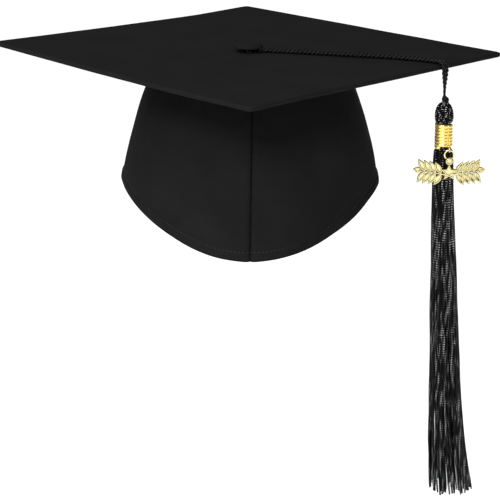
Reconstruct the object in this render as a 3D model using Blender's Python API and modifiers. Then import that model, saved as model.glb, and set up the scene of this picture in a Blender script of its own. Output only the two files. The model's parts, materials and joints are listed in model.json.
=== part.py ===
"""Graduation cap: a cloth-covered board, a soft skullcap and a tassel on a doubled cord.

Metres, +Z up, -Y to the front, the board's corners on the X and Y axes.
The origin is the centre of the crown's inner face, where a head touches it.
"""

import math

import bmesh
import bpy
from mathutils import Matrix, Vector

MM = 0.001
GAP = 0.3  # every length below is in millimetres

# Board
BOARD_SIDE = 241.0
COVER_THICKNESS = 0.5
CORE_THICKNESS = 1.7
COVER_EDGE_ROUNDING = 0.6
CROWN_THICKNESS = 1.2
UNDERSIDE_LOW = CROWN_THICKNESS + GAP
CORE_LOW = UNDERSIDE_LOW + COVER_THICKNESS + GAP
TOP_COVER_LOW = CORE_LOW + CORE_THICKNESS + GAP
BOARD_TOP = TOP_COVER_LOW + COVER_THICKNESS
SHANK_HOLE_RADIUS = 2.2
BUTTON_DIMPLE_RADIUS = 12.0
BUTTON_DIMPLE_DEPTH = 0.12

# Skullcap wall: half sizes at its top edge, and how they grow with the depth below the board's top
WALL_TOP_DEPTH = BOARD_TOP - CROWN_THICKNESS
WALL_HALF_WIDTH = 62.0
WALL_HALF_DEPTH = 66.3
WALL_SPREAD = 0.317
WALL_WIDTH_CURVE = 0.00045
WALL_DEPTH_CURVE = 0.0006
WALL_THICKNESS = 0.9
SEAM_HALF_GAP = 0.35
RIDGE_TOP = 3.7
RIDGE_HEM = 1.8
RIDGE_HALF_WIDTH = 35.0
HEM_DEPTH_SIDE = 86.5
HEM_DROP_FRONT = 32.0
HEM_DROP_BACK = 6.0
HEM_DROP_POWER = 2.4
FACING_HEIGHT = 6.5
FACING_THICKNESS = 0.8
FACING_INSET = WALL_THICKNESS + GAP + 0.1
ELASTIC_HEIGHT = 10.0
ELASTIC_ABOVE_HEM = 7.5
CROWN_HALF_WIDTH = 60.5
CROWN_HALF_DEPTH = 64.6

# Button, its heights above the board's top
BUTTON_RADIUS = 10.0
BUTTON_LOW = 2.9
BUTTON_HIGH = 5.9
RIVET_RADIUS = 1.8
RIVET_HEAD_RADIUS = 3.8

# Cord: two strands side by side, looped round the button's shank
STRAND_RADIUS = 1.15
STRAND_SIDE = 1.3
CORD_HEIGHT = 1.45
EYE_RADIUS = 3.3
LIFT_REACH = 11.5
CORNER_REACH = BOARD_SIDE / math.sqrt(2)
CROSSING_SHARE = 0.745
BEND_RADIUS = 3.0
BEND_START = 0.8  # how far in from the board's edge the bend begins
DROP_LENGTH = 19.7

# Tassel, its heights below the board's top
KNOT_HEIGHT = -22.0
KNOT_RADIUS = 2.0
HEAD_TOP = -25.0
HEAD_HEIGHT = 14.0
BAND_TOP = -39.2
BAND_BOTTOM = -55.6
BAND_RADIUS = 5.3
BAND_BORE = 4.5
BAND_TURNS = 8
HOOK_SIDE = 3.3
HOOK_REACH = 8.0
HOOK_LOOP_HEIGHT = -54.6
HOOK_LOOP_RADIUS = 1.7
HOOK_WIRE = 0.4
RING_RADIUS = 3.05
RING_WIRE = 0.55
RING_TOP = -55.05
BAIL_RADIUS = 1.3
BAIL_WIRE = 0.4
BAIL_HEIGHT = -61.25

# Charm, its (x, z) places from the ring's centre
CHARM_REACH = 1.9
CHARM_THICKNESS = 1.2
TAB_CENTRE = (0, -4.0)
TAB_RADIUS = 2.5
STAR_CENTRE = (0, -11.4)
STAR_RADIUS = 6.2
STEM_START = 3.6
STEM_LENGTH = 14.6
STEM_HEIGHT = -12.6
STEM_RISE = 2.4
LEAF_PAIRS = 4
LEAF_LENGTH = 9.4
LEAF_WIDTH = 3.0
LEAF_ANGLES = (62, -56)
TIP_LEAF = 5.6

EDGE_OUT = Vector((1, -1, 0)).normalized()
EDGE_ALONG = Vector((1, 1, 0)).normalized()
CROSSING = Vector((CROSSING_SHARE * CORNER_REACH, (CROSSING_SHARE - 1) * CORNER_REACH, 0))
RUN_OUT = CROSSING.normalized()
RUN_SIDE = Vector((-RUN_OUT.y, RUN_OUT.x, 0))
TASSEL_AXIS = CROSSING + EDGE_OUT * (BEND_RADIUS - BEND_START)


def clear_scene():
    for old in list(bpy.data.objects):
        bpy.data.objects.remove(old)


def make_material(name, colour, roughness, metallic=0.0):
    material = bpy.data.materials.new(name)
    material.use_nodes = True
    shader = material.node_tree.nodes["Principled BSDF"]
    shader.inputs["Base Color"].default_value = (*colour, 1)
    shader.inputs["Roughness"].default_value = roughness
    shader.inputs["Metallic"].default_value = metallic
    material.diffuse_color = (*colour, 1)
    return material


def add_object(name, data, material, place=(0, 0, 0)):
    piece = bpy.data.objects.new(name, data)
    parts.objects.link(piece)
    piece.location = Vector(place) * MM
    data.materials.append(material)
    return piece


def mesh_from(name, bm):
    mesh = bpy.data.meshes.new(name)
    bm.to_mesh(mesh)
    bm.free()
    mesh.shade_smooth()
    mesh.set_sharp_from_angle(angle=math.radians(35))
    return mesh


def as_cutter(piece):
    parts.objects.unlink(piece)
    cutters.objects.link(piece)
    piece.hide_render = True
    piece.display_type = "WIRE"
    return piece


def boolean(piece, other, operation="DIFFERENCE"):
    modifier = piece.modifiers.new(operation.title(), "BOOLEAN")
    modifier.object = other
    modifier.operation = operation
    modifier.solver = "EXACT"


def bevel(piece, width, segments=2):
    modifier = piece.modifiers.new("Bevel", "BEVEL")
    modifier.width = width * MM
    modifier.segments = segments
    modifier.limit_method = "ANGLE"


def square_plate(name, side, low, high, material):
    """A square slab with its corners on the X and Y axes."""
    bm = bmesh.new()
    size = Matrix.Diagonal((side * MM, side * MM, (high - low) * MM, 1))
    bmesh.ops.create_cube(bm, size=1, matrix=Matrix.Rotation(math.pi / 4, 4, "Z") @ size)
    return add_object(name, mesh_from(name, bm), material, (0, 0, (low + high) / 2))


def disc(name, radius, low, high, material, half_depth=None, segments=32):
    bm = bmesh.new()
    bmesh.ops.create_cone(bm, cap_ends=True, segments=segments, radius1=radius * MM,
                          radius2=radius * MM, depth=(high - low) * MM)
    if half_depth:
        bmesh.ops.scale(bm, vec=(1, half_depth / radius, 1), verts=bm.verts)
    return add_object(name, mesh_from(name, bm), material, (0, 0, (low + high) / 2))


def turned(name, profile, material, place, closed=False, steps=32):
    """A profile of (radius, height) points, run down its outer side, turned about Z."""
    mesh = bpy.data.meshes.new(name)
    edges = [(i, i + 1) for i in range(len(profile) - 1)]
    if closed:
        edges.append((len(profile) - 1, 0))
    mesh.from_pydata([(r * MM, 0, z * MM) for r, z in profile], edges, [])
    piece = add_object(name, mesh, material, place)
    screw = piece.modifiers.new("Screw", "SCREW")
    screw.steps = screw.render_steps = steps
    screw.use_merge_vertices = True
    screw.merge_threshold = 0.00001
    screw.use_smooth_shade = True
    return piece


def quarter_dome(radius, low, height, points=6):
    """The outline of half a dome, from its crown down to its rim."""
    turns = [math.pi / 2 * (1 - i / points) for i in range(points + 1)]
    return [(radius * math.cos(turn), low + height * math.sin(turn)) for turn in turns]


def tube(name, points, radius, material, place=(0, 0, 0), cyclic=False, sides=2, radii=None):
    """A round wire or cord through points that are relative to its place."""
    curve = bpy.data.curves.new(name, "CURVE")
    curve.dimensions = "3D"
    curve.bevel_depth = radius * MM
    curve.bevel_resolution = sides
    curve.use_fill_caps = not cyclic
    spline = curve.splines.new("POLY")
    spline.points.add(len(points) - 1)
    for i, point in enumerate(points):
        spline.points[i].co = (*(Vector(point) * MM), 1)
        spline.points[i].radius = radii[i] if radii else 1
    spline.use_cyclic_u = cyclic
    return add_object(name, curve, material, place)


def curve_to_mesh(piece):
    """Turns a tube into a closed mesh that a Boolean can take."""
    graph = bpy.context.evaluated_depsgraph_get()
    mesh = bpy.data.meshes.new_from_object(piece.evaluated_get(graph))
    bm = bmesh.new()
    bm.from_mesh(mesh)
    bmesh.ops.remove_doubles(bm, verts=bm.verts, dist=0.000001)
    bm.to_mesh(mesh)
    bm.free()
    name, place = piece.name, piece.matrix_world.copy()
    bpy.data.objects.remove(piece)
    solid = bpy.data.objects.new(name, mesh)
    solid.matrix_world = place
    parts.objects.link(solid)
    return solid


def smooth_path(knots, step):
    """Points about one step apart on a Catmull-Rom curve through the knots."""
    ends = [knots[0] * 2 - knots[1], *knots, knots[-1] * 2 - knots[-2]]
    path = []
    for a, b, c, d in zip(ends, ends[1:], ends[2:], ends[3:]):
        pieces = max(1, round((c - b).length / step))
        for i in range(pieces):
            t = i / pieces
            path.append(((2 * b) + (c - a) * t + (2 * a - 5 * b + 4 * c - d) * t ** 2
                         + (3 * b - a - 3 * c + d) * t ** 3) / 2)
    return [*path, knots[-1]]


def wall_point(turn, depth, inset=0.0):
    """A point on the skullcap's outside; turn is 0 at the right side and 90 degrees in front."""
    fall = depth - WALL_TOP_DEPTH
    half_width = WALL_HALF_WIDTH + WALL_SPREAD * fall - WALL_WIDTH_CURVE * fall ** 2
    half_depth = WALL_HALF_DEPTH + WALL_SPREAD * fall - WALL_DEPTH_CURVE * fall ** 2
    x, y = half_width * math.cos(turn), -half_depth * math.sin(turn)
    if y < 0:
        share = fall / (HEM_DEPTH_SIDE + HEM_DROP_FRONT - WALL_TOP_DEPTH)
        ridge = RIDGE_TOP + (RIDGE_HEM - RIDGE_TOP) * share
        y -= ridge * max(0, 1 - abs(x) / RIDGE_HALF_WIDTH) ** 2
    reach = math.hypot(x, y)
    shrink = (reach - inset) / reach
    return Vector((x * shrink, y * shrink, BOARD_TOP - depth))


def hem_depth(turn):
    drop = HEM_DROP_FRONT if math.sin(turn) > 0 else HEM_DROP_BACK
    return HEM_DEPTH_SIDE + drop * abs(math.sin(turn)) ** HEM_DROP_POWER


def wall_strip(name, turns, depths, thickness, material, columns, rows, inset=0.0, shift=0.0):
    """A strip of the skullcap's wall between two depths, as an open surface given a thickness.

    turns are its first and last angles in degrees; depths(turn) gives its top and bottom.
    """
    bm = bmesh.new()
    bmesh.ops.create_grid(bm, x_segments=columns, y_segments=rows, size=0.5)
    for vert in bm.verts:
        turn = math.radians(turns[0] + (turns[1] - turns[0]) * (vert.co.x + 0.5))
        top, bottom = depths(turn)
        depth = bottom + (top - bottom) * (vert.co.y + 0.5)
        vert.co = (wall_point(turn, depth, inset) + Vector((shift, 0, 0))) * MM
    bmesh.ops.remove_doubles(bm, verts=bm.verts, dist=0.000001)
    bmesh.ops.reverse_faces(bm, faces=bm.faces)
    piece = add_object(name, mesh_from(name, bm), material)
    solidify = piece.modifiers.new("Solidify", "SOLIDIFY")
    solidify.thickness = thickness * MM
    solidify.offset = -1
    solidify.use_even_offset = True
    return piece


def shank_hole(name, low, high):
    return as_cutter(disc(name, SHANK_HOLE_RADIUS, low, high, cloth, segments=24))


def make_board():
    hole = shank_hole("shank_hole", -5, BOARD_TOP + 5)
    inner_side = BOARD_SIDE - 2 * COVER_THICKNESS
    top = square_plate("board_cover_top", BOARD_SIDE, UNDERSIDE_LOW, BOARD_TOP, cloth)
    bevel(top, COVER_EDGE_ROUNDING)
    pocket = square_plate("board_pocket", inner_side, -5, TOP_COVER_LOW, cloth)
    dimple = disc("button_dimple", BUTTON_DIMPLE_RADIUS, BOARD_TOP - BUTTON_DIMPLE_DEPTH,
                  BOARD_TOP + 5, cloth, segments=24)
    for cutter in (as_cutter(pocket), as_cutter(dimple), hole):
        boolean(top, cutter)
    core = square_plate("board_core", inner_side - 2 * GAP, CORE_LOW, CORE_LOW + CORE_THICKNESS, card)
    under = square_plate("board_cover_underside", inner_side - 2 * GAP, UNDERSIDE_LOW,
                         UNDERSIDE_LOW + COVER_THICKNESS, cloth)
    crown = disc("crown_top", CROWN_HALF_WIDTH, 0, CROWN_THICKNESS, lining,
                 half_depth=CROWN_HALF_DEPTH, segments=48)
    for plate in (core, under, crown):
        boolean(plate, hole)


def make_skullcap():
    def wall(turn):
        return WALL_TOP_DEPTH, hem_depth(turn)

    def facing(turn):
        return hem_depth(turn) - FACING_HEIGHT, hem_depth(turn) - 0.3

    def elastic(turn):
        low = hem_depth(turn) - ELASTIC_ABOVE_HEM
        return low - ELASTIC_HEIGHT, low

    wall_strip("cap_panel_right", (-90, 90), wall, WALL_THICKNESS, cloth, 28, 8, shift=SEAM_HALF_GAP)
    wall_strip("cap_panel_left", (90, 270), wall, WALL_THICKNESS, cloth, 28, 8, shift=-SEAM_HALF_GAP)
    wall_strip("hem_facing", (-90, 270), facing, FACING_THICKNESS, cloth, 56, 1, inset=FACING_INSET)
    wall_strip("elastic_band", (205, 335), elastic, FACING_THICKNESS, elastic_web, 20, 1,
               inset=FACING_INSET)


def make_button():
    rim = BUTTON_LOW
    rise = BUTTON_HIGH - rim
    outer = quarter_dome(BUTTON_RADIUS, rim + 0.1, rise - 0.1)
    inner = quarter_dome(BUTTON_RADIUS - 0.3, rim + 0.1, rise - 0.4)
    turned("button_cover", [*outer, (BUTTON_RADIUS - 0.1, rim), (BUTTON_RADIUS - 0.3, rim),
                            *reversed(inner)], cloth, (0, 0, BOARD_TOP))
    outer = quarter_dome(BUTTON_RADIUS - 0.6, rim + 0.3, rise - 0.9)
    inner = quarter_dome(BUTTON_RADIUS - 1.0, rim + 0.3, rise - 1.25)
    turned("button_shell", [*outer, *reversed(inner)], steel, (0, 0, BOARD_TOP))
    back_low, back_high, back_radius = 3.2, 3.6, BUTTON_RADIUS - 1.5
    turned("button_back", [(SHANK_HOLE_RADIUS, back_high), (back_radius, back_high),
                           (back_radius, back_low), (SHANK_HOLE_RADIUS, back_low)],
           steel, (0, 0, BOARD_TOP), closed=True)
    head_low, foot_high, foot_low = back_high + GAP, -1.4 - BOARD_TOP, -2.1 - BOARD_TOP
    turned("button_rivet", [(0, head_low + 0.4), (RIVET_HEAD_RADIUS, head_low + 0.4),
                            (RIVET_HEAD_RADIUS, head_low), (RIVET_RADIUS, head_low),
                            (RIVET_RADIUS, foot_high), (3.4, foot_high), (3.4, foot_low),
                            (0, foot_low)], steel, (0, 0, BOARD_TOP), steps=24)
    turned("rivet_washer", [(SHANK_HOLE_RADIUS, -GAP), (7.0, -GAP), (7.0, -1.1),
                            (SHANK_HOLE_RADIUS, -1.1)], steel, (0, 0, 0), closed=True)


def run_point(out, side):
    """A point of the cord's route: how far out from the button, and how far to the back."""
    return RUN_OUT * out + RUN_SIDE * side


def make_cord():
    height = Vector((0, 0, BOARD_TOP + CORD_HEIGHT))
    eye_turns = [math.radians(50 + 260 * i / 14) for i in range(15)]
    eye = [run_point(EYE_RADIUS * math.cos(turn), EYE_RADIUS * math.sin(turn)) for turn in eye_turns]
    leads = [run_point(LIFT_REACH - GAP / 2, STRAND_SIDE), run_point(7.5, STRAND_SIDE + 0.2),
             run_point(4.4, STRAND_SIDE + 0.8)]
    back_leads = [run_point(point.dot(RUN_OUT), -point.dot(RUN_SIDE)) for point in reversed(leads)]
    tube("cord_eye", [*leads, *eye, *back_leads], STRAND_RADIUS, braid, height)

    fold = CROSSING - EDGE_OUT * (BEND_START + GAP / 2)
    route = [run_point(LIFT_REACH + GAP / 2, 0), run_point(40, 3.0), run_point(70, 5.6),
             run_point(100, 7.2), CROSSING - EDGE_OUT * 9, fold]
    middle = smooth_path(route, 5.0)
    tangents = [(b - a).normalized() for a, b in zip(middle, middle[1:])]
    tangents[-1] = EDGE_OUT
    tangents.append(EDGE_OUT)
    tangents[0] = RUN_OUT
    for name, side in (("back", STRAND_SIDE), ("front", -STRAND_SIDE)):
        strand = [point + Vector((-way.y, way.x, 0)) * side for point, way in zip(middle, tangents)]
        lift_point = run_point(LIFT_REACH, 0) + height
        tube("cord_run_" + name, [point + height - lift_point for point in strand],
             STRAND_RADIUS, braid, lift_point)
        make_drop(name, side)


def make_drop(name, side):
    """One strand over the board's edge and down, placed by the fold that it swings on."""
    start = math.asin(GAP / 2 / BEND_RADIUS)
    turns = [start + (math.pi / 2 - start) * i / 5 for i in range(6)]
    bend = [EDGE_OUT * (BEND_RADIUS * math.sin(turn)) + Vector((0, 0, BEND_RADIUS * math.cos(turn)))
            for turn in turns]
    top = bend[-1].z
    bottom = -DROP_LENGTH - CORD_HEIGHT + BEND_RADIUS
    lengths = [top + (bottom - top) * i / 4 for i in range(1, 5)]
    hanging = [EDGE_OUT * BEND_RADIUS + Vector((0, 0, z)) for z in lengths]
    centre = Vector((0, 0, CORD_HEIGHT - BEND_RADIUS + BOARD_TOP))
    place = CROSSING - EDGE_OUT * BEND_START + EDGE_ALONG * side + centre
    tube("cord_drop_" + name, [*bend, *hanging], STRAND_RADIUS, braid, place)


def make_tassel():
    top = TASSEL_AXIS + Vector((0, 0, BOARD_TOP))
    ball_turns = [math.radians(90 - 25 * i) for i in range(6)]
    ball = [(KNOT_RADIUS * math.cos(turn), KNOT_RADIUS * math.sin(turn)) for turn in ball_turns]
    stem_low, stop_low = -8.1, -9.2
    turned("cord_knot", [(0, KNOT_RADIUS), *ball[1:], (1.3, -1.7), (1.3, stem_low),
                         (2.6, stem_low - 0.1), (2.6, stop_low), (0, stop_low)],
           braid, top + Vector((0, 0, KNOT_HEIGHT)), steps=20)

    outer = [(1.7, 0), (3.2, -0.4), (4.9, -2.0), (5.9, -4.9), (6.05, -7.8), (5.7, -11.0),
             (4.8, -13.4), (4.3, -HEAD_HEIGHT)]
    inner = [(3.4, -HEAD_HEIGHT), (3.6, -11.4), (4.2, -8.0), (3.9, -5.2), (1.7, -3.6)]
    turned("tassel_head", [*outer, *inner], floss, top + Vector((0, 0, HEAD_TOP)), closed=True)
    turned("tassel_core", [(0, -7.2), (2.2, -7.2), (3.0, -8.0), (2.9, -13.4), (0, -13.4)],
           floss, top + Vector((0, 0, HEAD_TOP)), steps=20)

    pitch = (BAND_TOP - BAND_BOTTOM) / BAND_TURNS
    ribs = [(BAND_BORE, 0)]
    for i in range(BAND_TURNS):
        ribs += [(BAND_RADIUS - 0.3, -pitch * (i + 0.02)), (BAND_RADIUS, -pitch * (i + 0.3)),
                 (BAND_RADIUS, -pitch * (i + 0.7))]
    length = BAND_TOP - BAND_BOTTOM
    ribs += [(BAND_RADIUS - 0.3, -length), (BAND_BORE, -length)]
    turned("wire_band", ribs, gold, top + Vector((0, 0, BAND_TOP)), closed=True, steps=28)

    levels = [(BAND_TOP - GAP, 4.1, 0), (BAND_BOTTOM - GAP, 4.1, 0), (-57.2, 5.8, 0),
              (-82, 6.9, 0.3), (-106, 7.5, 0.7), (-134, 8.1, 1.3), (-162, 8.9, 2.1), (-190, 9.6, 3.0),
              (-233, 10.8, 4.6), (-261, 12.3, 6.4), (-275, 13.1, 7.5), (-298, 14.4, 9.6)]
    tube("tassel_skirt", [(shift, 0, level) for level, _, shift in levels], 1.0, floss, top,
         sides=5, radii=[radius for _, radius, _ in levels])


def make_hook_and_ring():
    top = TASSEL_AXIS + Vector((0, 0, BOARD_TOP))
    stem_back = -math.sqrt((BAND_RADIUS + GAP + HOOK_WIRE) ** 2 - HOOK_SIDE ** 2)
    stem = [(0, stem_back, -49), (0, stem_back, -52), (0, stem_back - 0.5, -53.6)]
    loop_turns = [math.radians(10 + 290 * i / 14) for i in range(15)]
    loop = [(0, -HOOK_REACH + HOOK_LOOP_RADIUS * math.cos(turn),
             HOOK_LOOP_HEIGHT - HOOK_LOOP_RADIUS * math.sin(turn)) for turn in loop_turns]
    tube("charm_hook", [*stem, *loop], HOOK_WIRE, gold, top + Vector((HOOK_SIDE, 0, 0)))

    ring_turns = [2 * math.pi * i / 24 for i in range(24)]
    ring = [(RING_RADIUS * math.sin(turn), 0, -RING_RADIUS + RING_RADIUS * math.cos(turn))
            for turn in ring_turns]
    tube("jump_ring", ring, RING_WIRE, gold, top + Vector((HOOK_SIDE, -HOOK_REACH, RING_TOP)),
         cyclic=True)


def flat_shape(name, outline, thickness, place):
    """A flat outline of (x, z) points standing in the XZ plane, as a closed mesh."""
    curve = bpy.data.curves.new(name, "CURVE")
    curve.dimensions = "2D"
    curve.fill_mode = "BOTH"
    curve.extrude = thickness / 2 * MM
    spline = curve.splines.new("POLY")
    spline.points.add(len(outline) - 1)
    for i, (x, z) in enumerate(outline):
        spline.points[i].co = (x * MM, z * MM, 0, 1)
    spline.use_cyclic_u = True
    piece = add_object(name, curve, gold, place)
    piece.rotation_euler.x = math.pi / 2
    bpy.context.view_layer.update()
    return curve_to_mesh(piece)


def leaf_outline(root, angle, length, width, points=6):
    """A pointed leaf from its root, at an angle from +X."""
    shares = [i / points for i in range(points + 1)]
    half = [(length * share, width / 2 * math.sin(math.pi * share ** 0.85)) for share in shares]
    flat = [*half, *[(x, -z) for x, z in reversed(half[1:-1])]]
    turn = math.radians(angle)
    return [(root[0] + x * math.cos(turn) - z * math.sin(turn),
             root[1] + x * math.sin(turn) + z * math.cos(turn)) for x, z in flat]


def circle_outline(centre, radius, points=16):
    turns = [2 * math.pi * i / points for i in range(points)]
    return [(centre[0] + radius * math.cos(turn), centre[1] + radius * math.sin(turn))
            for turn in turns]


def star_outline(centre, radius, inner):
    outline = []
    for i in range(10):
        turn = math.pi / 2 + math.pi * i / 5
        reach = inner if i % 2 else radius
        outline.append((centre[0] + reach * math.cos(turn), centre[1] + reach * math.sin(turn)))
    return outline


def mirrored(outline, side):
    """The outline itself on side 1, and its mirror image, wound the same way, on side -1."""
    return outline if side > 0 else [(-x, z) for x, z in reversed(outline)]


def stem_place(share):
    """Where along a laurel stem, and its height."""
    return STEM_START + STEM_LENGTH * share, STEM_HEIGHT + STEM_RISE * share


def make_charm():
    """A star between two laurel sprays; it hangs by the bail behind its top tab."""
    place = TASSEL_AXIS + Vector((HOOK_SIDE, -HOOK_REACH, BOARD_TOP + RING_TOP - RING_RADIUS))
    face = place - Vector((0, CHARM_REACH, 0))
    pieces = [flat_shape("charm_tab", circle_outline(TAB_CENTRE, TAB_RADIUS), 1.3, face)]
    for side in (1, -1):
        stem_end = STEM_START + STEM_LENGTH + 1.6
        slope = STEM_RISE / STEM_LENGTH
        stem = [(x, STEM_HEIGHT + slope * (x - STEM_START) + z)
                for x, z in ((0.5, -0.6), (stem_end, -0.4), (stem_end, 0.4), (0.5, 0.6))]
        pieces.append(flat_shape("charm_stem", mirrored(stem, side), 1.4, face))
        outlines = [leaf_outline(stem_place(1), math.degrees(math.atan(slope)), TIP_LEAF, LEAF_WIDTH)]
        for i in range(LEAF_PAIRS):
            root = stem_place((i + 0.35) / LEAF_PAIRS)
            outlines += [leaf_outline(root, angle, LEAF_LENGTH, LEAF_WIDTH) for angle in LEAF_ANGLES]
        for outline in outlines:
            pieces.append(flat_shape("charm_leaf", mirrored(outline, side), CHARM_THICKNESS, face))
    bail_turns = [2 * math.pi * i / 16 for i in range(16)]
    bail = [(0, BAIL_RADIUS * math.cos(turn), BAIL_RADIUS * math.sin(turn)) for turn in bail_turns]
    bail_place = TASSEL_AXIS + Vector((HOOK_SIDE, -HOOK_REACH, BOARD_TOP + BAIL_HEIGHT))
    loop = tube("charm_bail", bail, BAIL_WIRE, gold, bail_place, cyclic=True)
    bpy.context.view_layer.update()
    pieces.append(curve_to_mesh(loop))
    star = star_outline(STAR_CENTRE, STAR_RADIUS, STAR_RADIUS * 0.45)
    charm = flat_shape("charm", star, 1.6, face)
    for piece in pieces:
        boolean(charm, as_cutter(piece), "UNION")


def new_collection(name):
    collection = bpy.data.collections.new(name)
    bpy.context.scene.collection.children.link(collection)
    return collection


clear_scene()
parts = new_collection("graduation_cap")
cutters = new_collection("cutters")
cloth = make_material("black cloth", (0.012, 0.012, 0.013), 0.85)
lining = make_material("crown lining", (0.016, 0.016, 0.017), 0.9)
card = make_material("board card", (0.35, 0.33, 0.3), 0.8)
elastic_web = make_material("elastic web", (0.02, 0.02, 0.02), 0.8)
steel = make_material("button steel", (0.6, 0.6, 0.62), 0.3, 1.0)
braid = make_material("black braided cord", (0.01, 0.01, 0.011), 0.5)
floss = make_material("black rayon floss", (0.01, 0.01, 0.011), 0.45)
gold = make_material("gold plated metal", (0.9, 0.68, 0.28), 0.25, 1.0)
make_board()
make_skullcap()
make_button()
make_cord()
make_tassel()
make_hook_and_ring()
make_charm()
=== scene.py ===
import json
import math
import random

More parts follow.
